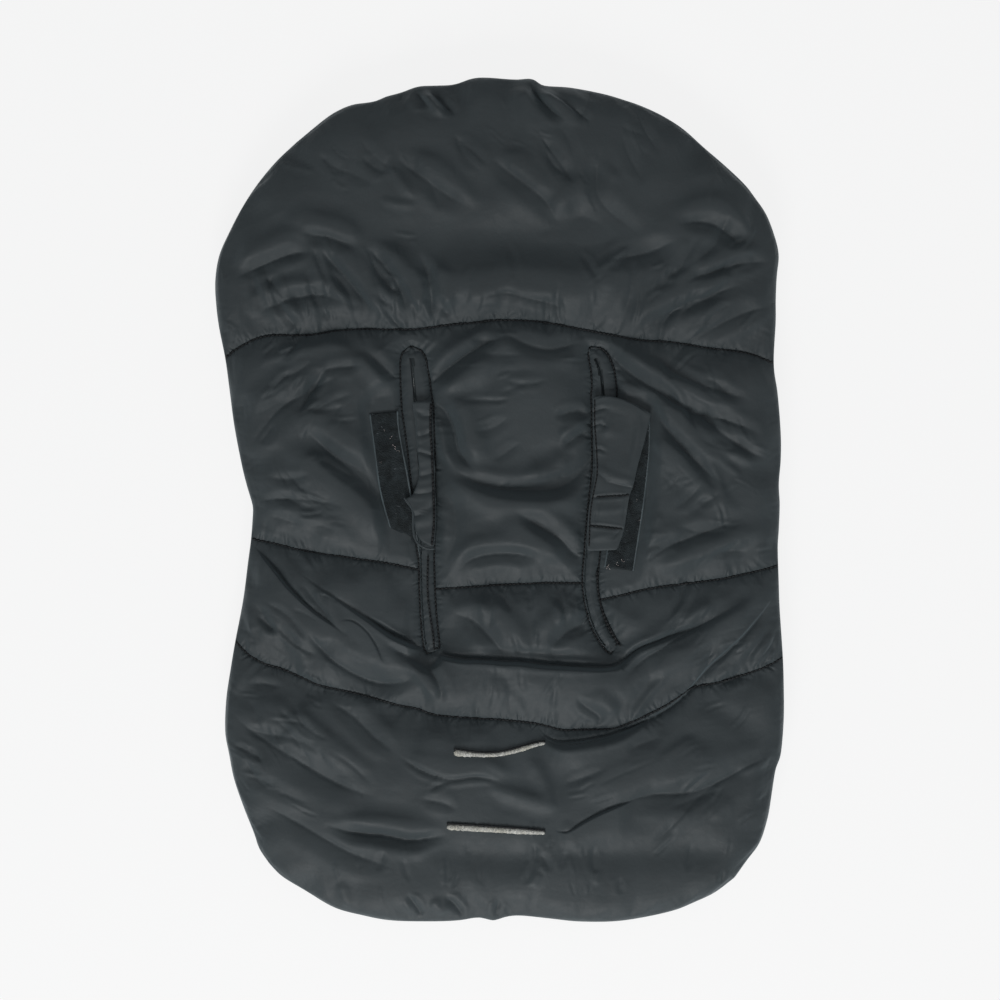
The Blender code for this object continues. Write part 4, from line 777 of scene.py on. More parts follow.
def bed_share(points):
    """How flat the cloth lies beside the slots, under the hook strips and flaps: 1 where it is flat."""
    flat = numpy.zeros(len(points))
    beds = ((LEFT_SLIT, (4 * MM, 18 * MM), (9 * MM, 15 * MM), LEFT_HOOK_EDGES),
            (RIGHT_SLIT, (3 * MM, 9 * MM), (4 * MM, 18 * MM), RIGHT_HOOK_EDGES))
    for slit, left_span, right_span, hook_edges in beds:
        signed = measure(points, trace(slit), 40 * MM)[0]
        beside = numpy.abs(signed)
        flat = numpy.maximum(flat, 1 - numpy.where(signed < 0, ease(beside, *left_span), ease(beside, *right_span)))
        strip_line = (at_shares(trace(hook_edges[0]), (0, 0.5, 1)) + at_shares(trace(hook_edges[1]), (0, 0.5, 1))) / 2
        signed = measure(points, strip_line, 40 * MM)[0]
        flat = numpy.maximum(flat, 1 - ease(numpy.abs(signed), 12 * MM, 26 * MM))
    return flat


def scattered_creases():
    """Small loose creases, strewn through each zone about its heading."""
    for seed, (middle, spread, heading, count, length, height, breadth) in enumerate(CREASE_ZONES):
        draw = numpy.random.default_rng(200 + seed)
        for _ in range(count):
            centre = numpy.array(middle) + draw.normal(0, 0.6, 2) * spread
            angle = math.radians(heading + draw.normal(0, 16))
            bend = draw.uniform(-0.25, 0.25)
            reach = draw.uniform(*length) / 2
            route = []
            for part in (-1, -0.5, 0, 0.5, 1):
                turn = angle + bend * part
                route.append(centre + reach * part * numpy.array((math.cos(turn), -math.sin(turn))))
            kind = ("ridge", "valley", "crease")[int(draw.integers(3))]
            yield kind, draw.uniform(*height), draw.uniform(*breadth), route
            start = centre + draw.normal(0, 0.5, 2) * spread
            slim = [start + (spot - centre) * 0.6 for spot in route]
            yield "ridge", draw.uniform(*height) * 0.4, draw.uniform(1.3, 2.2), slim
            yield "crease", draw.uniform(*height) * 0.4, draw.uniform(1.3, 2.0), [spot + (3, 3) for spot in slim]


def fold_shape(kind, signed, breadth):
    """Cross-section of a fold, one unit high; a lap is raised on the right of its route."""
    beside = numpy.abs(signed) / breadth
    if kind == "ridge":
        return bell(beside) - 0.12 * bell(beside - 2)
    if kind == "hollow":
        return -bell(beside)
    if kind in ("valley", "crease"):
        keen = 0.6 if kind == "valley" else 0.75
        sharp = keen * numpy.exp(-beside / 0.28) + (1 - keen) * bell(beside)
        return 0.3 * bell((beside - 1.5) / 0.7) - sharp
    over = -signed / breadth
    raised = ease(over, -0.01, 0.12) * numpy.exp(-(numpy.maximum(over - 0.4, 0) / 0.9) ** 2)
    under = 0.4 * numpy.exp(-numpy.abs(over + 0.02) / 0.1)
    return raised - under


def fold_rise(points, folds):
    """The rise that folds add at points of the plan."""
    rise = numpy.zeros(len(points))
    for kind, height, breadth, route in folds:
        strength = sizes().fold_strength if kind in ("lap", "hollow") else sizes().crease_strength
        line = trace(route, 4 * MM)
        breadth = breadth * MM
        chosen = numpy.flatnonzero(near(points, line, breadth * 3.2))
        signed, share, _ = measure(points[chosen], line)
        taper = ease(share, 0, 0.3) * ease(1 - share, 0, 0.3)
        narrow = breadth * (0.55 + 0.45 * taper)
        fade = ease(3.2 * breadth - numpy.abs(signed), 0, 0.8 * breadth)
        rise[chosen] += height * MM * strength * taper * fade * fold_shape(kind, signed, narrow)
    return rise


def pucker_rise(points, lines, ranges, first_seed=40):
    """Short gathers across each seam, unevenly spaced."""
    spacing, lengths, depths, breadths = (tuple(limit * MM for limit in limits) for limits in ranges)
    rise = numpy.zeros(len(points))
    for seed, line in enumerate(lines):
        draw = numpy.random.default_rng(first_seed + seed)
        length = stations(line)[-1]
        for side in (1, -1):
            along = draw.uniform(*spacing) / 2
            while along < length:
                start, ahead = at_shares(line, (along / length, min(along / length + 0.01, 1)))
                run = ahead - start
                norm = max(numpy.linalg.norm(run), 1e-9)
                along += draw.uniform(*spacing) * draw.uniform(0.5, 1.2)
                reach, depth, breadth = (draw.uniform(*limits) for limits in (lengths, depths, breadths))
                turn = draw.uniform(-0.7, 0.7)
                out = numpy.array((-run[1], run[0])) / norm * side
                way = numpy.array((out[0] * math.cos(turn) - out[1] * math.sin(turn),
                                   out[0] * math.sin(turn) + out[1] * math.cos(turn)))
                chosen = numpy.flatnonzero(near(points, numpy.array((start, start + way * reach)), breadth * 4))
                offset = points[chosen] - start
                part = offset @ way / reach
                fade = numpy.where(part > 0, numpy.clip(1 - part, 0, 1) ** 1.3 * numpy.clip(part / 0.12, 0.35, 1), 0)
                gap = numpy.abs(offset @ numpy.array((-way[1], way[0]))) / breadth
                rise[chosen] += depth * fade * (0.7 * bell(gap - 1.6) - bell(gap))
    return rise * sizes().pucker_strength


def cloth_height(points, fine=True):
    """Height of the cloth's face over the plan."""
    seams = panel_seams()
    outline = outline_run()
    reach = sizes().seam_reach
    far = reach * 1.5
    to_edge = clearance(points, [outline], far, far)
    to_seam = clearance(points, seams, far, far)
    to_facing = clearance(points, facing_lines(), 5 * MM, far)
    seam_part = numpy.clip(to_seam / reach, 0, 1)
    edge_part = numpy.clip(to_edge / (reach * 0.75), 0, 1)
    full = (1 - (1 - seam_part) ** 2.0) ** 0.85
    brim = (1 - (1 - edge_part) ** 2.2) ** 0.6
    crown = sizes().crown * (1 + 0.12 * drift(points, 120 * MM, 3) + 0.06 * drift(points, 45 * MM, 5))
    flat = bed_share(points)
    puff = crown * full * brim
    puff = puff * (1 - flat) + numpy.minimum(puff, BED_Z - SEAM_Z) * flat
    free = ease(to_edge, 0, 12 * MM) * (1 - 0.85 * flat)
    height = SEAM_Z + (EDGE_Z - SEAM_Z) * (1 - brim) + puff + fold_rise(points, (*FOLDS, *scattered_creases())) * free
    if fine:
        near_edge = ease(to_edge, 0, 8 * MM)
        height += pucker_rise(points, seams, SOFT_PUCKERS) * near_edge * (1 - 0.5 * flat)
        height += pucker_rise(points, seams, SHARP_PUCKERS, 80) * near_edge
        height += pucker_rise(points, [outline], SOFT_PUCKERS) * 0.5 * ease(to_edge, 0, 3 * MM)
        height -= 1.5 * MM * numpy.exp(-to_seam / (0.7 * MM)) * near_edge
        height -= 0.9 * MM * numpy.exp(-to_facing / (1.2 * MM))
    return numpy.maximum(height, LINING_TOP + 0.6 * MM)


# Meshes

def link(name, mesh, finish):
    made = bpy.data.objects.new(name, mesh)
    bpy.context.scene.collection.objects.link(made)
    for one in finish if isinstance(finish, (list, tuple)) else (finish,):
        mesh.materials.append(one)
    return made


def from_work(name, work, finish, smooth=True):
    mesh = bpy.data.meshes.new(name)
    work.to_mesh(mesh)
    work.free()
    made = link(name, mesh, finish)
    if smooth:
        mesh.shade_smooth()
    return made


def grid_work(across, along):
    """A unit grid, with each vertex's column and row."""
    work = bmesh.new()
    bmesh.ops.create_grid(work, x_segments=across, y_segments=along, size=1)
    places = numpy.array([vert.co[:2] for vert in work.verts])
    return work, (places[:, 0] + 1) / 2, (places[:, 1] + 1) / 2


def set_places(work, places):
    for vert, spot in zip(work.verts, places):
        vert.co = spot


def coords(mesh):
    flat = numpy.empty(len(mesh.vertices) * 3)
    mesh.vertices.foreach_get("co", flat)
    return flat.reshape(-1, 3)


def set_coords(mesh, places):
    mesh.vertices.foreach_set("co", numpy.asarray(places, numpy.float32).ravel())
    mesh.update()


def apply_modifiers(target):
    evaluated = target.evaluated_get(bpy.context.evaluated_depsgraph_get())
    mesh = bpy.data.meshes.new_from_object(evaluated)
    old = target.data
    target.modifiers.clear()
    target.data = mesh
    bpy.data.meshes.remove(old)


@contextlib.contextmanager
def editing(mesh):
    """A mesh opened as a bmesh, and written back afterwards."""
    work = bmesh.new()
    work.from_mesh(mesh)
    yield work
    work.to_mesh(mesh)
    work.free()


def thicken(target, thickness, offset=-1):
    made = target.modifiers.new("thickness", "SOLIDIFY")
    made.thickness = thickness
    made.offset = offset


def patch(edges, u, v):
    """Plan points at shares across and along a sheet with four edges: foot, right, head and left."""
    foot, right, head, left = edges
    low, high = at_shares(foot, u), at_shares(head, u)
    near_side, far_side = at_shares(left, v), at_shares(right, v)
    u, v = u[:, None], v[:, None]
    corners = ((1 - u) * (1 - v) * foot[0] + u * (1 - v) * foot[-1] + (1 - u) * v * head[0] + u * v * head[-1])
    return (1 - v) * low + v * high + (1 - u) * near_side + u * far_side - corners


def panel_edges():
    return [trace(route, 1 * MM) for route in (FOOT_EDGE, RIGHT_EDGE, HEAD_EDGE, LEFT_EDGE)]


def simulate_swell(target, pinned, frames=20, pressure=4.0):
    """Lets the wadding press the cloth out between its seams, and keeps the result in the mesh."""
    group = target.vertex_groups.new(name="sewn")
    for index in numpy.flatnonzero(pinned > 0):
        group.add([int(index)], float(pinned[index]), "REPLACE")
    made = target.modifiers.new("swell", "CLOTH")
    cloth = made.settings
    cloth.quality = 6
    cloth.mass = 0.25
    cloth.tension_stiffness = 12
    cloth.compression_stiffness = 12
    cloth.shear_stiffness = 6
    cloth.bending_stiffness = 0.4
    cloth.shrink_min = -0.035
    cloth.use_pressure = True
    cloth.uniform_pressure_force = pressure
    cloth.vertex_group_mass = "sewn"
    cloth.pin_stiffness = 2
    cloth.effector_weights.gravity = 0
    made.point_cache.frame_start = 1
    made.point_cache.frame_end = frames
    scene = bpy.context.scene
    for number in range(1, frames + 1):
        scene.frame_set(number)
    apply_modifiers(target)
    scene.frame_set(1)
    target.vertex_groups.clear()


def evened(values, u, v, across, along):
    """Values on a grid's vertices, with the kinks from one vertex to the next smoothed out."""
    column, row = numpy.rint(u * across).astype(int), numpy.rint(v * along).astype(int)
    table = numpy.zeros((along + 1, across + 1, values.shape[1]))
    table[row, column] = values
    for axis in (0, 1):
        back, ahead = numpy.roll(table, 1, axis), numpy.roll(table, -1, axis)
        inner = [slice(None), slice(None)]
        inner[axis] = slice(1, -1)
        table[tuple(inner)] = ((back + 2 * table + ahead) / 4)[tuple(inner)]
    return table[row, column]


def make_back_shell(nylon):
    """The quilted outer cloth of the back panel, with its edge turned under to the lining."""
    across, along = (round(length / CLOTH_STEP) for length in CLOTH_SIZE)
    work, u, v = grid_work(across, along)
    plan = patch(panel_edges(), u, v)
    height = cloth_height(plan, fine=False)
    set_places(work, numpy.column_stack((plan, height)))
    shell = from_work("back_shell_cloth", work, nylon)
    start = coords(shell.data)
    swollen = numpy.zeros_like(start)
    to_seam = clearance(plan, (outline_run(), *panel_seams()), 5 * MM)
    simulate_swell(shell, numpy.where(to_seam < SEWN_REACH, 1.0, 0.0))
    swollen = evened(coords(shell.data) - start, u, v, across, along) * (1 - 0.95 * bed_share(plan))[:, None]
    far = numpy.linalg.norm(swollen, axis=1)
    limit = sizes().swell
    swollen *= (numpy.tanh(far / limit) * limit / numpy.maximum(far, 1e-9))[:, None]
    set_coords(shell.data, start)
    field = shell.data.attributes.new("swell", "FLOAT_VECTOR", "POINT")
    field.data.foreach_set("vector", swollen.astype(numpy.float32).ravel())
    rounder = shell.modifiers.new("finer", "SUBSURF")
    rounder.levels = rounder.render_levels = 2
    apply_modifiers(shell)
    laps = [trace(route, 4 * MM) for kind, _, _, route in FOLDS if kind == "lap"]
    with editing(shell.data) as work:
        refine(work, (*panel_seams(), *laps), 6 * MM)
    places = coords(shell.data)
    values = numpy.empty(len(places) * 3, numpy.float32)
    shell.data.attributes["swell"].data.foreach_get("vector", values)
    shell.data.attributes.remove(shell.data.attributes["swell"])
    plan = places[:, :2]
    finished = numpy.column_stack((plan, cloth_height(plan))) + values.reshape(-1, 3)
    above = numpy.maximum(finished[:, 2] - PANEL_TOP, 0)
    finished[:, 2] += HIGHEST_FOLD * numpy.tanh(above / HIGHEST_FOLD) - above
    set_coords(shell.data, finished)
    with editing(shell.data) as work:
        draw_out(work, outline_run(), HEM_STEPS)
        open_slits(work)
    shell.data.shade_smooth()
    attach(shell, "back_panel")
    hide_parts("back_shell", "head_wadding", "shoulder_wadding", "seat_wadding", "foot_wadding")
    return shell


def refine(work, lines, within):
    """Halves the mesh beside some lines, for sharp edges and gathers."""
    faces = list(work.faces)
    middles = numpy.array([face.calc_center_median()[:2] for face in faces])
    close = clearance(middles, lines, within + 2 * MM) < within
    edges = {edge for face, one in zip(faces, close) if one for edge in face.edges}
    bmesh.ops.subdivide_edges(work, edges=sorted(edges, key=lambda edge: edge.index), cuts=1, use_grid_fill=True)


def draw_out(work, outline, steps, top=math.inf):
    """Extrudes a sheet's rim in steps, each so far out of the outline and so far up, in mm."""
    for out, rise in steps:
        rim = [edge for edge in work.edges if edge.is_boundary]
        made = bmesh.ops.extrude_edge_only(work, edges=rim)["geom"]
        verts = [item for item in made if isinstance(item, bmesh.types.BMVert)]
        spots = numpy.array([vert.co[:2] for vert in verts])
        for vert, way in zip(verts, measure(spots, outline)[2]):
            vert.co += Vector((-way[0] * out * MM, -way[1] * out * MM, rise * MM))
            vert.co.z = min(vert.co.z, top)


def open_slits(work, wider=0.0):
    """Cuts a sheet along the harness slots, under their lips."""
    faces = list(work.faces)
    middles = numpy.array([face.calc_center_median()[:2] for face in faces])
    taken = numpy.zeros(len(faces), bool)
    for slit in (LEFT_SLIT, RIGHT_SLIT):
        signed, share, _ = measure(middles, trace(slit), 8 * MM)
        half = 0.7 * MM + 1.1 * MM * (share < 0.2) + wider
        taken |= (numpy.abs(signed) < half) & (share > 0.04) & (share < 0.97)
    bmesh.ops.delete(work, geom=[face for face, gone in zip(faces, taken) if gone], context="FACES")


@functools.cache
def surface_reader(name):
    """A function that reads the height of a finished piece at points of the plan."""
    mesh = bpy.data.objects[name].data
    places = coords(mesh)
    tree = BVHTree.FromPolygons([Vector(spot) for spot in places], [tuple(face.vertices) for face in mesh.polygons])

    def read(points):
        heights = []
        for x, y in points:
            spot = tree.ray_cast(Vector((x, y, 1)), Vector((0, 0, -1)))[0]
            heights.append(spot.z if spot else EDGE_Z)
        return numpy.array(heights)

    return read


def cloth_reader():
    return surface_reader("back_shell_cloth")


def on_cloth(line, lift):
    """A line of the plan, laid on the cloth."""
    return numpy.column_stack((line, cloth_reader()(line) + lift))


def strip(name, left, right, across, along, height, finish, border=0):
    """A strip of cloth between two edges that run down it; its height depends on the shares across and along.
    A border of so many columns on each side takes the second finish."""
    work, u, v = grid_work(across, along)
    plan = at_shares(left, 1 - v) * (1 - u)[:, None] + at_shares(right, 1 - v) * u[:, None]
    set_places(work, numpy.column_stack((plan, height(u, 1 - v, plan))))
    column = numpy.rint(u * across)
    for face in work.faces:
        low = min(column[vert.index] for vert in face.verts)
        face.material_index = int(low < border or low >= across - border)
    return from_work(name, work, finish)


def bolster(name, centres, across, up, finish, sides=24, boxy=1.0, relief=None):
    """A stuffed piece along a run of ring centres, with half its breadth and half its height given at each."""
    centres, across, up = (numpy.asarray(value, float) for value in (centres, across, up))
    rows = len(centres) - 1
    work, u, v = grid_work(sides, rows)
    turn = u * 2 * math.pi
    row = numpy.rint(v * rows).astype(int)
    cosine, sine = numpy.cos(turn), numpy.sin(turn)
    wide = numpy.sign(cosine) * numpy.abs(cosine) ** boxy
    tall = numpy.sign(sine) * numpy.abs(sine) ** boxy
    swell = relief(turn, v) if relief else 1
    places = centres[row] + across[row] * (wide * swell)[:, None] + up[row] * (tall * swell)[:, None]
    set_places(work, places)
    bmesh.ops.remove_doubles(work, verts=work.verts, dist=0.01 * MM)
    bmesh.ops.holes_fill(work, edges=[edge for edge in work.edges if edge.is_boundary])
    bmesh.ops.recalc_face_normals(work, faces=work.faces)
    return from_work(name, work, finish)


def ends(count, soft=3):
    """Shrinks the first and last rings, so that a bolster's ends are round."""
    index = numpy.arange(count)
    return dome((numpy.minimum(index, count - 1 - index) + 0.35) / soft)


def pad(name, left, right, middle_z, half_height, finish, rows=120, sides=40, boxy=0.45, folds=(), arch=0.0):
    """A stuffed flat piece between two edges that run down it, with folds pressed into its upper side and an
    arched upper end."""
    shares = numpy.linspace(0, 1, rows)
    near_edge, far_edge = at_shares(left, shares), at_shares(right, shares)
    centres = numpy.column_stack(((near_edge + far_edge) / 2, numpy.broadcast_to(middle_z, rows)))
    half = (far_edge - near_edge) / 2 * ends(rows)[:, None] ** 0.3
    across = numpy.column_stack((half, numpy.zeros(rows)))
    up = numpy.column_stack((numpy.zeros((rows, 2)), half_height * ends(rows)))
    made = bolster(name, centres, across, up, finish, sides, boxy)
    places = coords(made.data)
    top = places[:, 2] > middle_z if numpy.isscalar(middle_z) else places[:, 2] > numpy.min(middle_z)
    places[top, 2] += fold_rise(places[top, :2], folds) + 0.25 * MM * drift(places[top, :2], 24 * MM, 71)
    across_share = numpy.clip((places[:, 0] - left[0][0]) / (right[0][0] - left[0][0]), 0, 1)
    down = left[0][1] + (right[0][1] - left[0][1]) * across_share - places[:, 1]
    places[:, 1] += arch * numpy.sin(math.pi * across_share ** 0.85) * (1 - ease(down, 0, 26 * MM))
    set_coords(made.data, places)
    return made


def cord(name, line, radius, finish, sides=10, lumps=0, seed=1):
    """A round cord, or a lumpy roll, along a line in space."""
    line = numpy.asarray(line, float)
    runs = headings(line)
    across = numpy.cross(runs, (0, 0, 1))
    across /= numpy.linalg.norm(across, axis=1)[:, None]
    up = numpy.cross(across, runs)
    draw = numpy.random.default_rng(seed)
    size = radius * (1 + lumps * draw.normal(0, 1, len(line))) * ends(len(line))
    return bolster(name, line, across * size[:, None], up * size[:, None], finish, sides)


def merge(name, parts, finish):
    """One object from several, which are taken away."""
    work = bmesh.new()
    for part in parts:
        mesh = part.data
        work.from_mesh(mesh)
        bpy.data.objects.remove(part)
        bpy.data.meshes.remove(mesh)
    return from_work(name, work, finish)


def strew(name, template, matrices, finish):
    """Copies of a small bmesh, one at each matrix."""
    mesh = bpy.data.meshes.new("copy")
    template.to_mesh(mesh)
    template.free()
    work = bmesh.new()
    for matrix in matrices:
        mesh.transform(matrix)
        work.from_mesh(mesh)
        mesh.transform(matrix.inverted())
    bpy.data.meshes.remove(mesh)
    return from_work(name, work, finish)


def stitches(name, lines, finish, bold=1.0):
    """Running thread along lines in space: it lies on the cloth for a stitch, then dives to the next."""
    pitch, thick = sizes().stitch, sizes().thread * bold
    phases = ((0.0, -1.0), (0.08, 0.1), (0.3, 0.5), (0.7, 0.5), (0.92, 0.1))
    parts = []
    for number, line in enumerate(lines):
        count = max(int(stations(line)[-1] / pitch), 1)
        shares = [(index + part) / count for index in range(count) for part, _ in phases] + [1]
        lift = numpy.array([rise for _ in range(count) for _, rise in phases] + [-1]) * thick
        run = at_shares(line, shares)
        run[:, 2] += lift
        parts.append(cord(f"{name}_{number}", run, thick / 2, finish, 6))
    return merge(name, parts, finish)


def declare(target, body, nodes=()):
    """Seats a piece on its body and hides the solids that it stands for."""
    if body:
        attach(target, body)
    if nodes:
        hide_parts(*nodes)
    return target


def make_facing(side, slit, widths, nylon):
    """The two lips of a harness slot: turned edges of cloth, sewn down outside and rolled into the slit."""
    shares, line, right = slit_frame(slit, 150)
    opening = numpy.interp(shares, *zip(*SLIT_GAPS[side])) * PIXEL / 2
    across = 12
    bend = 0.75
    lips = []
    for hand, reach in zip((-1, 1), facing_widths(widths, shares)):
        outer = line + right * (hand * (reach + 0.4 * MM))[:, None]
        inner = line + right * (hand * numpy.minimum(opening, reach))[:, None]
        level = numpy.minimum(cloth_reader()(outer), BED_Z + 1.2 * MM)
        turns = numpy.linspace(0, 1, across + 1)
        part = numpy.clip(turns / bend, 0, 1)
        fall = numpy.clip((turns - bend) / (1 - bend), 0, 1)
        work, u, v = grid_work(across, len(shares) - 1)
        column = numpy.rint(u * across).astype(int)
        column = column if hand < 0 else across - column
        row = numpy.rint((1 - v) * (len(shares) - 1)).astype(int)
        plan = outer[row] + (inner - outer)[row] * part[column][:, None]
        ripple = 0.3 * MM * drift(plan * (1, 3), 22 * MM, 11 + hand)
        swell = 1.5 * MM * numpy.sin(math.pi * (0.08 + 0.84 * part[column])) ** 0.7
        height = level[row] - 0.7 * MM + swell + ripple * numpy.sin(math.pi * part[column])
        height -= fall[column] ** 1.5 * (BED_Z - LINING_TOP + 1 * MM)
        set_places(work, numpy.column_stack((plan, height)))
        lips.append(from_work(f"{side}_lip_{hand}", work, nylon))
    made = merge(f"{side}_slot_lips", lips, nylon)
    thicken(made, 0.5 * MM)
    declare(made, "back_panel", [f"{side}_slot_facing"])


def make_slots(nylon):
    """The lips of both harness slots outside, and the welts round the cut edges of the lining inside."""
    for side, slit, widths in SLOTS:
        make_facing(side, slit, widths, nylon)
    for side, slit, _ in SLOTS:
        _, line, right = slit_frame(slit, 120)
        level = numpy.full(len(line), LINING_TOP - WELT_DROP)
        welts = []
        for hand in (-1, 1):
            course = numpy.column_stack((line + right * hand * WELT_REACH, level))
            welts.append(cord(f"{side}_welt_{hand}", course, WELT_RADIUS, nylon))
        declare(merge(f"{side}_slot_welts", welts, nylon), "back_panel")


def make_hook_strips(finishes):
    """Hook tape sewn beside each slot: a field of hooks between two smooth edges."""
    hook, selvedge = finishes
    read = cloth_reader()
    for side, edges, sink in (("left", LEFT_HOOK_EDGES, LEFT_STRIP_SINK), ("right", RIGHT_HOOK_EDGES, 0)):
        left, right = (trace(route) for route in edges)
        length = float(stations(left)[-1])

        def height(u, v, plan):
            wave = 0.25 * MM * drift(plan, 40 * MM, 21)
            return HOOK_TOP + wave - sink * ease(v, 0.7, 0.98)

        made = strip(f"{side}_hook_tape", left, right, 20, 90, height, [hook, selvedge], border=1)
        thicken(made, 1 * MM)
        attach(made, "back_panel")
        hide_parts(f"{side}_hook_strip")
        draw = numpy.random.default_rng(61 if side == "left" else 62)
        hook_shape = bmesh.new()
        grow = Matrix.Translation((0, 0, 0.25 * MM))
        bmesh.ops.create_cone(hook_shape, segments=4, radius1=0.12 * MM, radius2=0.05 * MM, depth=0.7 * MM, matrix=grow)
        turns = []
        for u, v in draw.uniform((0.08, 0.01), (0.92, 0.99), (HOOK_COUNT, 2)):
            spot = at_shares(left, [v])[0] * (1 - u) + at_shares(right, [v])[0] * u
            base = Vector((*spot, height(numpy.array([u]), numpy.array([v]), spot[None])[0]))
            lean = Vector((*draw.normal(0, 0.5, 2), 1)).to_track_quat("Z", "Y").to_matrix().to_4x4()
            turns.append(Matrix.Translation(base) @ lean)
        fuzz = strew(f"{side}_hooks", hook_shape, turns, hook)
        declare(fuzz, "back_panel")


def make_left_flap(nylon):
    """The tucked flap: rolled narrow under itself, pinched by its own pleats and sewn down on its right."""
    left, right = (trace(route) for route in LEFT_FLAP_EDGES)
    low, high = 35.0 * MM, 39.0 * MM
    folds = (
        ("crease", 1.2, 2.4, ((408, 455), (420, 452), (432, 456), (446, 452))),
        ("crease", 1.0, 3.0, ((408, 472), (422, 476), (436, 472), (448, 474))),
        ("crease", 0.9, 2.6, ((406, 432), (420, 436), (434, 431), (446, 428))),
        ("ridge", 0.4, 3.0, ((408, 464), (422, 462), (446, 464))),
        ("crease", 1.2, 3.2, ((402, 512), (416, 516), (430, 508), (446, 498))),
        ("ridge", 0.5, 3.6, ((408, 524), (424, 522), (446, 512))),
        ("crease", 1.0, 3.0, ((404, 490), (420, 494), (446, 488))),
        ("valley", 1.0, 4.0, ((424, 400), (425, 425), (427, 448))),
        ("valley", 1.0, 3.0, ((414, 408), (424, 416), (440, 414))),
        ("ridge", 0.4, 3.0, ((412, 540), (426, 534), (446, 530))),
    )
    middle, half = (low + high) / 2, (high - low) / 2
    made = pad("left_flap_cloth", left, right, middle, half, nylon, 150, 40, 0.6, folds)
    declare(made, "left_flap", ["left_flap", "left_loop_strip"])
    hem = trace(((404, 498), (409, 503), (413, 512), (413.5, 530), (417, 542), (426, 548), (435, 549)), 1 * MM)
    hem = numpy.column_stack((hem, numpy.linspace(high - 1.2 * MM, high + 0.2 * MM, len(hem))))
    declare(cord("left_flap_hem", hem, 0.9 * MM, nylon, 10, 0.05), "left_flap")


def make_right_flap(nylon, hook):
    """The closed flap: two layers of cloth that narrow to a tip, with a loop strip boxed in by stitches."""
    left, right = (trace(route) for route in RIGHT_FLAP_EDGES)
    folds = (
        ("lap", 1.5, 12, ((640, 489), (630, 487), (614, 483), (602, 476), (594, 468), (590, 462))),
        ("ridge", 0.7, 3.0, ((596, 464), (612, 476), (628, 480), (638, 480))),
        ("crease", 1.2, 3.0, ((596, 434), (606, 424), (611, 414), (618, 407))),
        ("ridge", 0.8, 4.0, ((602, 440), (612, 428), (617, 416), (626, 408))),
        ("valley", 0.7, 5.0, ((626, 406), (630, 430), (628, 456), (630, 472))),
        ("crease", 0.9, 1.8, ((586, 498), (600, 497), (616, 496), (632, 495))),
        ("crease", 0.9, 1.8, ((584, 525), (600, 526), (616, 528), (628, 529))),
        ("crease", 0.6, 1.6, ((600, 490), (598, 505), (595, 530))),
        ("ridge", 0.5, 3.0, ((590, 510), (604, 511), (618, 509), (630, 508))),
        ("valley", 0.5, 3.0, ((626, 488), (625, 505), (622, 524))),
        ("ridge", 0.6, 3.0, ((640, 412), (637, 436), (632, 460), (628, 480))),
        ("crease", 1.0, 2.2, ((588, 414), (600, 411), (610, 413))),
        ("crease", 1.0, 2.2, ((588, 428), (600, 424), (608, 428))),
        ("crease", 0.9, 2.2, ((588, 452), (600, 449), (608, 455))),
        ("ridge", 0.6, 3.0, ((588, 540), (604, 536), (618, 536))),
        ("crease", 0.8, 2.0, ((610, 540), (616, 534), (622, 528))),
        ("lap", 1.0, 8, ((586, 401), (604, 400), (622, 402), (636, 409), (656, 418))),
    )
    made = pad("right_flap_cloth", left, right, CLOSED_FLAP_Z, CLOSED_FLAP_HALF, nylon, 190, 80, 0.4, folds, 5 * MM)
    declare(made, "right_flap", ["right_flap"])
    shares = numpy.linspace(0.08, 0.94, 40)
    near_edge, far_edge = at_shares(left, shares), at_shares(right, shares)
    inset = (far_edge - near_edge) * 0.2
    low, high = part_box("right_loop_strip")
    loops = strip("right_loops", near_edge + inset, far_edge - inset, 16, 60, lambda u, v, plan: u * 0 + high.z, hook)
    thicken(loops, high.z - low.z)
    declare(loops, "right_flap", ["right_loop_strip"])
    width = float(numpy.linalg.norm((far_edge - near_edge - 2 * inset)[20]))
    length = float(stations(left)[-1]) * 0.86


def make_crotch_lips(lip, thread):
    """The cream edge of the lining that fills each crotch slot, under a line of black overlocking."""
    for name, route, radii in CROTCH_LIPS:
        line = trace(route, 1 * MM)
        edge = on_cloth(line, 0.7 * MM)
        size = numpy.interp(numpy.linspace(0, 1, len(line)), numpy.linspace(0, 1, len(radii)), radii) * MM
        made = cord(f"{name}_crotch_edge", edge, size, lip, 14, 0.1, len(name))
        places = coords(made.data)
        places[:, 2] = edge[:, 2].mean() + (places[:, 2] - edge[:, 2].mean()) * 0.9
        set_coords(made.data, places)
        declare(made, "back_panel", [f"{name}_crotch_binding"])
        above = on_cloth(line + numpy.column_stack((size * 0, size + 0.7 * MM)), 1.0 * MM)
        declare(cord(f"{name}_crotch_overlock", above, 0.9 * MM, thread, 8, 0.25), "back_panel")


def make_stitching(thread):
    """Every visible row of stitches."""
    lines = [on_cloth(trace(route), 0.25 * MM) for route in QUILT_SEAMS]
    declare(stitches("panel_stitches", lines, thread, 1.5), "back_panel")
    lines = [on_cloth(line, 0.5 * MM) for line in facing_lines()]
    lines += [on_cloth(trace(route), 1.6 * MM) for route in LOWER_LIP_ROWS]
    declare(stitches("slot_stitches", lines, thread, 1.5), "back_panel")
    flap = surface_reader("left_flap_cloth")
    row = trace(LEFT_FLAP_ROW) - (0.8 * MM, 0)
    seam = numpy.column_stack((row, flap(row) + 0.3 * MM))
    declare(stitches("left_flap_stitches", [seam], thread, 2.1), "left_flap")
    flap = surface_reader("right_flap_cloth")
    lines = [numpy.column_stack((line, flap(line) + 0.15 * MM)) for line in map(trace, RIGHT_FLAP_ROWS)]
    declare(stitches("right_flap_stitches", lines, thread, 1.2), "right_flap")


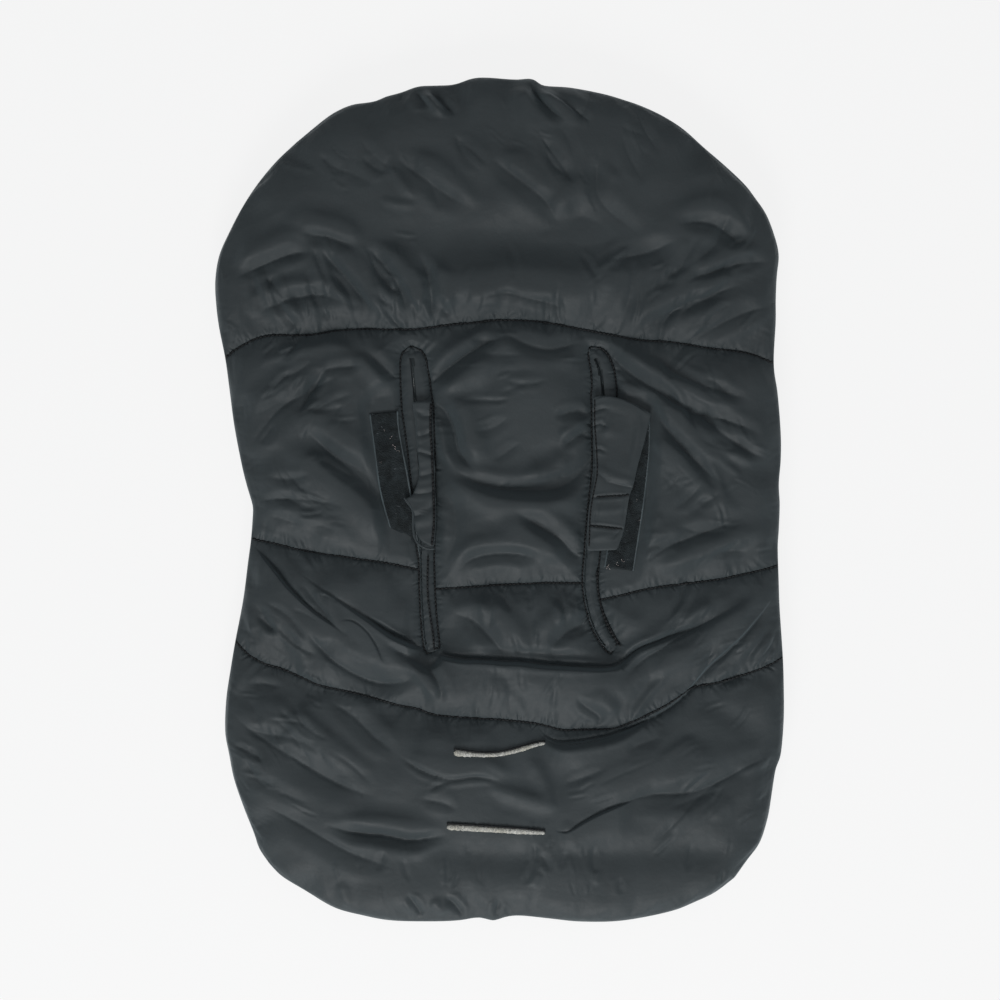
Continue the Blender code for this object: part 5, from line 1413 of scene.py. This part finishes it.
def make_lint(finish):
    """Lint and fluff caught by the hooks."""
    draw = numpy.random.default_rng(7)
    spots = ((395, 446, 2.2), (391, 438, 1.2), (399, 452, 1.0), (385, 430, 0.7), (381, 462, 0.7), (611, 565, 2.0),
             (617, 563, 1.6), (623, 560, 1.2), (607, 567, 1.0), (637, 500, 0.7), (640, 520, 0.6))
    speck = bmesh.new()
    bmesh.ops.create_uvsphere(speck, u_segments=6, v_segments=4, radius=1)
    turns = []
    for x, y, size in spots:
        for _ in range(3):
            spot = Vector((*place((x + draw.normal(0, size), y + draw.normal(0, size))), HOOK_TOP + 0.7 * MM))
            turn = Matrix.Rotation(draw.uniform(0, math.pi), 4, "Z")
            shape = Matrix.Diagonal((size * 0.35 * MM, 0.16 * MM, 0.16 * MM, 1))
            turns.append(Matrix.Translation(spot) @ turn @ shape)
    declare(strew("lint", speck, turns, finish), "back_panel")


def make_back_lining(plush):
    """The plush inside of the back panel, quilted with the shell, seen from below and when it opens."""
    work, u, v = grid_work(122, 182)
    plan = patch(panel_edges(), u, v)
    signed, _, left = measure(plan, outline_run())
    to_edge = numpy.abs(signed)
    inset = 5 * MM * (1 - ease(to_edge, 0, 30 * MM))
    plan = plan + left * inset[:, None]
    to_seam = clearance(plan, panel_seams())
    full = (1 - (1 - numpy.clip(to_seam / (24 * MM), 0, 1)) ** 2) ** 0.6 * ease(to_edge, 0, 14 * MM)
    height = LINING_TOP - 0.9 * MM - 3.4 * MM * full * (1 + 0.2 * drift(plan, 60 * MM, 31))
    set_places(work, numpy.column_stack((plan, height)))
    bmesh.ops.reverse_faces(work, faces=work.faces)
    for within in (10 * MM, 6 * MM):
        work.edges.index_update()
        refine(work, (trace(LEFT_SLIT), trace(RIGHT_SLIT)), within)
    open_slits(work, 0.9 * MM)
    made = from_work("back_lining_plush", work, plush)
    thicken(made, 0.8 * MM)
    declare(made, "back_panel", ["back_lining"])


def rim_course():
    """The run of the hood's rim round the head, inside the panel's edge, with the way outwards at each point."""
    right, head, left = (trace(route, 2 * MM) for route in (RIGHT_EDGE, HEAD_EDGE, LEFT_EDGE))
    run = numpy.vstack((right, head[::-1][1:], left[::-1][1:]))
    run = run[run[:, 1] > RIM_START]
    run = at_shares(run, numpy.linspace(0, 1, 360))
    for _ in range(30):
        run[1:-1] = (run[:-2] + run[1:-1] + run[2:]) / 3
    ways = headings(run)
    outward = numpy.stack((ways[:, 1], -ways[:, 0]), axis=1)
    return run - outward * RIM_INSET, outward


def make_hood_rim(nylon):
    """The padded rim round the head, gathered by the elastic inside it."""
    run, outward = rim_course()
    low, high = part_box("rim_casing")[0].z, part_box("rim_casing")[1].z
    middle, radius = (low + high) / 2, (high - low) / 2 - 0.4 * MM
    centres = numpy.column_stack((run, numpy.full(len(run), middle)))
    across = numpy.column_stack((outward, numpy.zeros(len(run)))) * radius
    up = numpy.tile((0, 0, radius), (len(run), 1))
    shrink = ends(len(run), 6)[:, None]
    length = stations(run)[-1]
    draw = numpy.random.default_rng(17)
    waves = [(length / draw.uniform(7 * MM, 16 * MM), draw.uniform(0, 6.3), int(draw.integers(0, 3))) for _ in range(9)]

    def relief(turn, share):
        total = sum(numpy.sin(2 * math.pi * count * share + phase + turns * turn) for count, phase, turns in waves)
        return 1 - 0.045 * (0.5 + 0.5 * numpy.tanh(total / 1.5))

    made = bolster("hood_rim_cloth", centres, across * shrink, up * shrink, nylon, 28, relief=relief)
    declare(made, "back_panel", ["rim_casing", "rim_padding", "rim_elastic"])


def front_edges(inset):
    """Foot, right, head and left edges of the front cover, drawn in by an inset."""
    low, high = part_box("front_shell")
    half, foot, mouth = high.x - inset, low.y + inset, high.y - inset
    turn = numpy.linspace(0, math.pi / 2, 60)
    y = foot + FRONT_CURVE * (1 - numpy.cos(turn))
    x = half * numpy.clip(1 - (1 - (y - foot) / FRONT_CURVE) ** 3, 0, 1) ** (1 / 3)
    corner = int(numpy.searchsorted(x, half * 0.86))
    arc = numpy.column_stack((x[:corner + 1], y[:corner + 1]))
    foot_edge = numpy.vstack((arc[::-1] * (-1, 1), arc[1:]))
    side = numpy.vstack((numpy.column_stack((x[corner:], y[corner:])), ((half, mouth),)))
    head_edge = numpy.array(((-half, mouth), (half, mouth)))
    return foot_edge, side, head_edge, side * (-1, 1)


def front_mound(plan):
    """How full the front cover's quilting is at points of the plan."""
    to_seam = numpy.min([numpy.abs(plan[:, 1] - row) for row in FRONT_SEAM_ROWS], axis=0)
    return dome(to_seam / (24 * MM))


def make_front_cover(nylon, plush, binding):
    """The quilted front cover that the footmuff lies on: shell, plush and the bound mouth."""
    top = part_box("front_shell")[1].z
    work, u, v = grid_work(100, 98)
    plan = patch(front_edges(7 * MM), u, v)
    height = 0.3 * MM + 2.6 * MM * (1 - front_mound(plan)) + 0.5 * MM * numpy.abs(drift(plan, 70 * MM, 41))
    set_places(work, numpy.column_stack((plan, height)))
    bmesh.ops.reverse_faces(work, faces=work.faces)
    foot, right, head, left = front_edges(0)
    draw_out(work, numpy.vstack((foot, right[1:], head[::-1], left[::-1])), FRONT_BRIM_STEPS, top)
    bmesh.ops.recalc_face_normals(work, faces=work.faces)
    shell = from_work("front_cover_cloth", work, nylon)
    thicken(shell, 0.5 * MM)
    declare(shell, "front_cover", ["front_shell", "front_wadding"])

    work, u, v = grid_work(64, 62)
    plan = patch(front_edges(3.4 * MM), u, v)
    border = numpy.minimum(numpy.minimum(u, 1 - u), numpy.minimum(v, 1 - v))
    puff = 2.2 * MM * front_mound(plan) * ease(border, 0, 0.07)
    height = FRONT_PLUSH_Z + puff * (1 + 0.2 * drift(plan, 60 * MM, 43))
    set_places(work, numpy.column_stack((plan, height)))
    lining = from_work("front_lining_plush", work, plush)
    thicken(lining, 0.8 * MM)
    declare(lining, "front_cover", ["front_lining"])

    low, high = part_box("front_mouth_binding")
    middle = (low + high) / 2
    x = numpy.linspace(low.x, high.x, 200)
    line = numpy.column_stack((x, numpy.full(200, middle.y), middle.z + 0.15 * MM * numpy.sin(x / (9 * MM))))
    across = numpy.tile((0, (high.y - low.y) / 2, 0), (200, 1))
    up = numpy.tile((0, 0, (high.z - low.z) / 2), (200, 1))
    tape = bolster("mouth_binding_tape", line, across, up, binding, 16, 0.5)
    declare(tape, "front_cover", ["front_mouth_binding"])


def make_gusset(nylon):
    """The strip that joins the cover and the panel round the foot, folded into shallow pleats."""
    low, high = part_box("foot_gusset")
    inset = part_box("front_shell")[1].x - high.x
    foot, right, _, left = front_edges(inset)
    run = numpy.vstack((right[::-1], foot[::-1][1:], left[1:]))
    run = run[run[:, 1] < high.y]
    run = at_shares(run, numpy.linspace(0, 1, 260))
    ways = headings(run)
    outward = numpy.stack((-ways[:, 1], ways[:, 0]), axis=1)
    rise = 14
    work, u, v = grid_work(len(run) - 1, rise)
    column = numpy.rint(u * (len(run) - 1)).astype(int)
    bulge = 0.9 * MM * numpy.sin(v * 3 * math.pi) * numpy.sin(v * math.pi)
    pleat = 0.5 * MM * drift(numpy.column_stack((u * 0.9, v * 0.02)), 24 * MM, 51) * numpy.sin(v * math.pi)
    plan = run[column] + outward[column] * (bulge + pleat - 0.8 * MM)[:, None]
    set_places(work, numpy.column_stack((plan, low.z + (high.z - low.z) * v)))
    bmesh.ops.recalc_face_normals(work, faces=work.faces)
    made = from_work("foot_gusset_cloth", work, nylon)
    thicken(made, 0.6 * MM, 0)
    apply_modifiers(made)
    made.data.shade_smooth()
    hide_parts("foot_gusset")
    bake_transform(made)


def dress(finish, *names):
    """Gives kept solids their finish."""
    for name in names:
        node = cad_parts[name]
        node.data.materials.clear()
        node.data.materials.append(finish)
        node.data.shade_smooth()


def dress_zips():
    tape, teeth, metal = zip_tape_finish(), teeth_finish(), metal_finish()
    for side in ("left", "right"):
        dress(tape, f"{side}_front_tape", f"{side}_back_tape")
        dress(teeth, f"{side}_front_teeth", f"{side}_back_teeth")
        dress(metal, *(f"{side}_{part}" for part in ("slider", "pull", "top_stop", "bottom_stop")))


def make_stage():
    work = bmesh.new()
    bmesh.ops.create_grid(work, x_segments=1, y_segments=1, size=40)
    floor_finish = Finish("floor", 0.9)
    floor_finish.set("Base Color", (0.8, 0.8, 0.8, 1))
    glow = floor_finish.nodes.new("ShaderNodeEmission")
    blend = floor_finish.nodes.new("ShaderNodeMixShader")
    path = floor_finish.nodes.new("ShaderNodeLightPath")
    seen = Socket(floor_finish, path.outputs["Is Camera Ray"]) + Socket(floor_finish, path.outputs["Is Glossy Ray"])
    seen = (seen + Socket(floor_finish, path.outputs["Is Transmission Ray"])) * 0.85
    floor_finish.feed(blend.inputs["Fac"], seen)
    out = floor_finish.nodes["Material Output"]
    floor_finish.links.new(floor_finish.shader.outputs[0], blend.inputs[1])
    floor_finish.links.new(glow.outputs[0], blend.inputs[2])
    floor_finish.links.new(blend.outputs[0], out.inputs["Surface"])
    floor = from_work("floor", work, floor_finish.material, smooth=False)
    floor.data.transform(Matrix.Translation((0, 0, -0.2 * MM)))

    world = bpy.data.worlds.new("studio")
    world.use_nodes = True
    bpy.context.scene.world = world
    background = world.node_tree.nodes["Background"]
    background.inputs["Color"].default_value = (0.92, 0.96, 1.0, 1)
    background.inputs["Strength"].default_value = 0.24

    lamps = (("key", (-0.25, -1.8, 1.4), 0.9, 25.8), ("top", (0.3, 0.4, 2.4), 1.8, 4.6))
    for name, spot, size, power in lamps:
        lamp = bpy.data.lights.new(name, "AREA")
        lamp.size = size
        lamp.energy = power
        made = bpy.data.objects.new(name, lamp)
        made.location = spot
        made.rotation_euler = (-Vector(spot)).to_track_quat("-Z", "Y").to_euler()
        bpy.context.scene.collection.objects.link(made)

    camera = bpy.data.cameras.new("camera")
    height = 2.6
    view_level = 35 * MM
    camera.sensor_width = 36
    camera.lens = camera.sensor_width * (height - view_level) / (PHOTO_SIZE * PIXEL)
    eye = bpy.data.objects.new("camera", camera)
    x, y = place((PHOTO_SIZE / 2, PHOTO_SIZE / 2))
    eye.location = (x, y, height)
    bpy.context.scene.collection.objects.link(eye)
    bpy.context.scene.camera = eye
    bpy.context.scene.view_settings.view_transform = "Standard"


class FOOTMUFF_OT_stage(bpy.types.Operator):
    """Make the floor, the lights and the camera"""
    bl_idname = "footmuff.stage"
    bl_label = "Stage"

    def execute(self, context):
        make_stage()
        return {"FINISHED"}


class FOOTMUFF_OT_back_shell(bpy.types.Operator):
    """Make the quilted cloth of the back panel"""
    bl_idname = "footmuff.back_shell"
    bl_label = "Back shell"

    def execute(self, context):
        make_back_shell(nylon_finish())
        return {"FINISHED"}


class FOOTMUFF_OT_slots(bpy.types.Operator):
    """Make the lips of the harness slots and the edges of the crotch slots"""
    bl_idname = "footmuff.slots"
    bl_label = "Slots"

    def execute(self, context):
        lip, thread = lip_finish(), thread_finish()
        make_slots(bpy.data.materials["nylon_cloth"])
        make_crotch_lips(lip, thread)
        return {"FINISHED"}


class FOOTMUFF_OT_hook_strips(bpy.types.Operator):
    """Make the hook strips and the lint on them"""
    bl_idname = "footmuff.hook_strips"
    bl_label = "Hook strips"

    def execute(self, context):
        make_hook_strips((hook_finish(), selvedge_finish()))
        make_lint(lint_finish())
        return {"FINISHED"}


class FOOTMUFF_OT_flaps(bpy.types.Operator):
    """Make the tucked flap and the closed flap"""
    bl_idname = "footmuff.flaps"
    bl_label = "Flaps"

    def execute(self, context):
        nylon = bpy.data.materials["nylon_cloth"]
        make_left_flap(nylon)
        make_right_flap(nylon, bpy.data.materials["hook_tape"])
        return {"FINISHED"}


class FOOTMUFF_OT_stitching(bpy.types.Operator):
    """Sew the visible rows of stitches"""
    bl_idname = "footmuff.stitching"
    bl_label = "Stitching"

    def execute(self, context):
        make_stitching(bpy.data.materials["sewing_thread"])
        return {"FINISHED"}


class FOOTMUFF_OT_lining(bpy.types.Operator):
    """Make the plush lining of the back panel"""
    bl_idname = "footmuff.lining"
    bl_label = "Lining"

    def execute(self, context):
        make_back_lining(plush_finish())
        return {"FINISHED"}


class FOOTMUFF_OT_hood_rim(bpy.types.Operator):
    """Make the gathered rim round the head"""
    bl_idname = "footmuff.hood_rim"
    bl_label = "Hood rim"

    def execute(self, context):
        make_hood_rim(bpy.data.materials["nylon_cloth"])
        return {"FINISHED"}


class FOOTMUFF_OT_front_cover(bpy.types.Operator):
    """Make the front cover, its lining, the binding of its mouth and the foot gusset"""
    bl_idname = "footmuff.front_cover"
    bl_label = "Front cover"

    def execute(self, context):
        nylon = bpy.data.materials["nylon_cloth"]
        make_front_cover(nylon, bpy.data.materials["cream_plush"], binding_finish())
        make_gusset(nylon)
        return {"FINISHED"}


class FOOTMUFF_OT_zips(bpy.types.Operator):
    """Give the zips their finishes"""
    bl_idname = "footmuff.zips"
    bl_label = "Zips"

    def execute(self, context):
        dress_zips()
        return {"FINISHED"}


class FOOTMUFF_PT_panel(bpy.types.Panel):
    bl_label = "Footmuff"
    bl_idname = "FOOTMUFF_PT_panel"
    bl_space_type = "VIEW_3D"
    bl_region_type = "UI"
    bl_category = "Footmuff"

    def draw(self, context):
        for group in (context.scene.footmuff_sizes, context.scene.footmuff_colours):
            for name in group.__annotations__:
                self.layout.prop(group, name)
        for operator in OPERATORS:
            self.layout.operator(operator.bl_idname)


OPERATORS = (
    FOOTMUFF_OT_stage, FOOTMUFF_OT_back_shell, FOOTMUFF_OT_slots, FOOTMUFF_OT_hook_strips, FOOTMUFF_OT_flaps,
    FOOTMUFF_OT_stitching, FOOTMUFF_OT_lining, FOOTMUFF_OT_hood_rim, FOOTMUFF_OT_front_cover, FOOTMUFF_OT_zips,
)
CLASSES = (FootmuffSizes, FootmuffColours, *OPERATORS, FOOTMUFF_PT_panel)


def register():
    for one in CLASSES:
        bpy.utils.register_class(one)
    bpy.types.Scene.footmuff_sizes = bpy.props.PointerProperty(type=FootmuffSizes)
    bpy.types.Scene.footmuff_colours = bpy.props.PointerProperty(type=FootmuffColours)


def unregister():
    del bpy.types.Scene.footmuff_colours
    del bpy.types.Scene.footmuff_sizes
    for one in reversed(CLASSES):
        bpy.utils.unregister_class(one)


def main():
    register()
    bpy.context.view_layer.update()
    for operator in OPERATORS:
        family, name = operator.bl_idname.split(".")
        getattr(getattr(bpy.ops, family), name)()


if __name__ == "__main__":
    main()
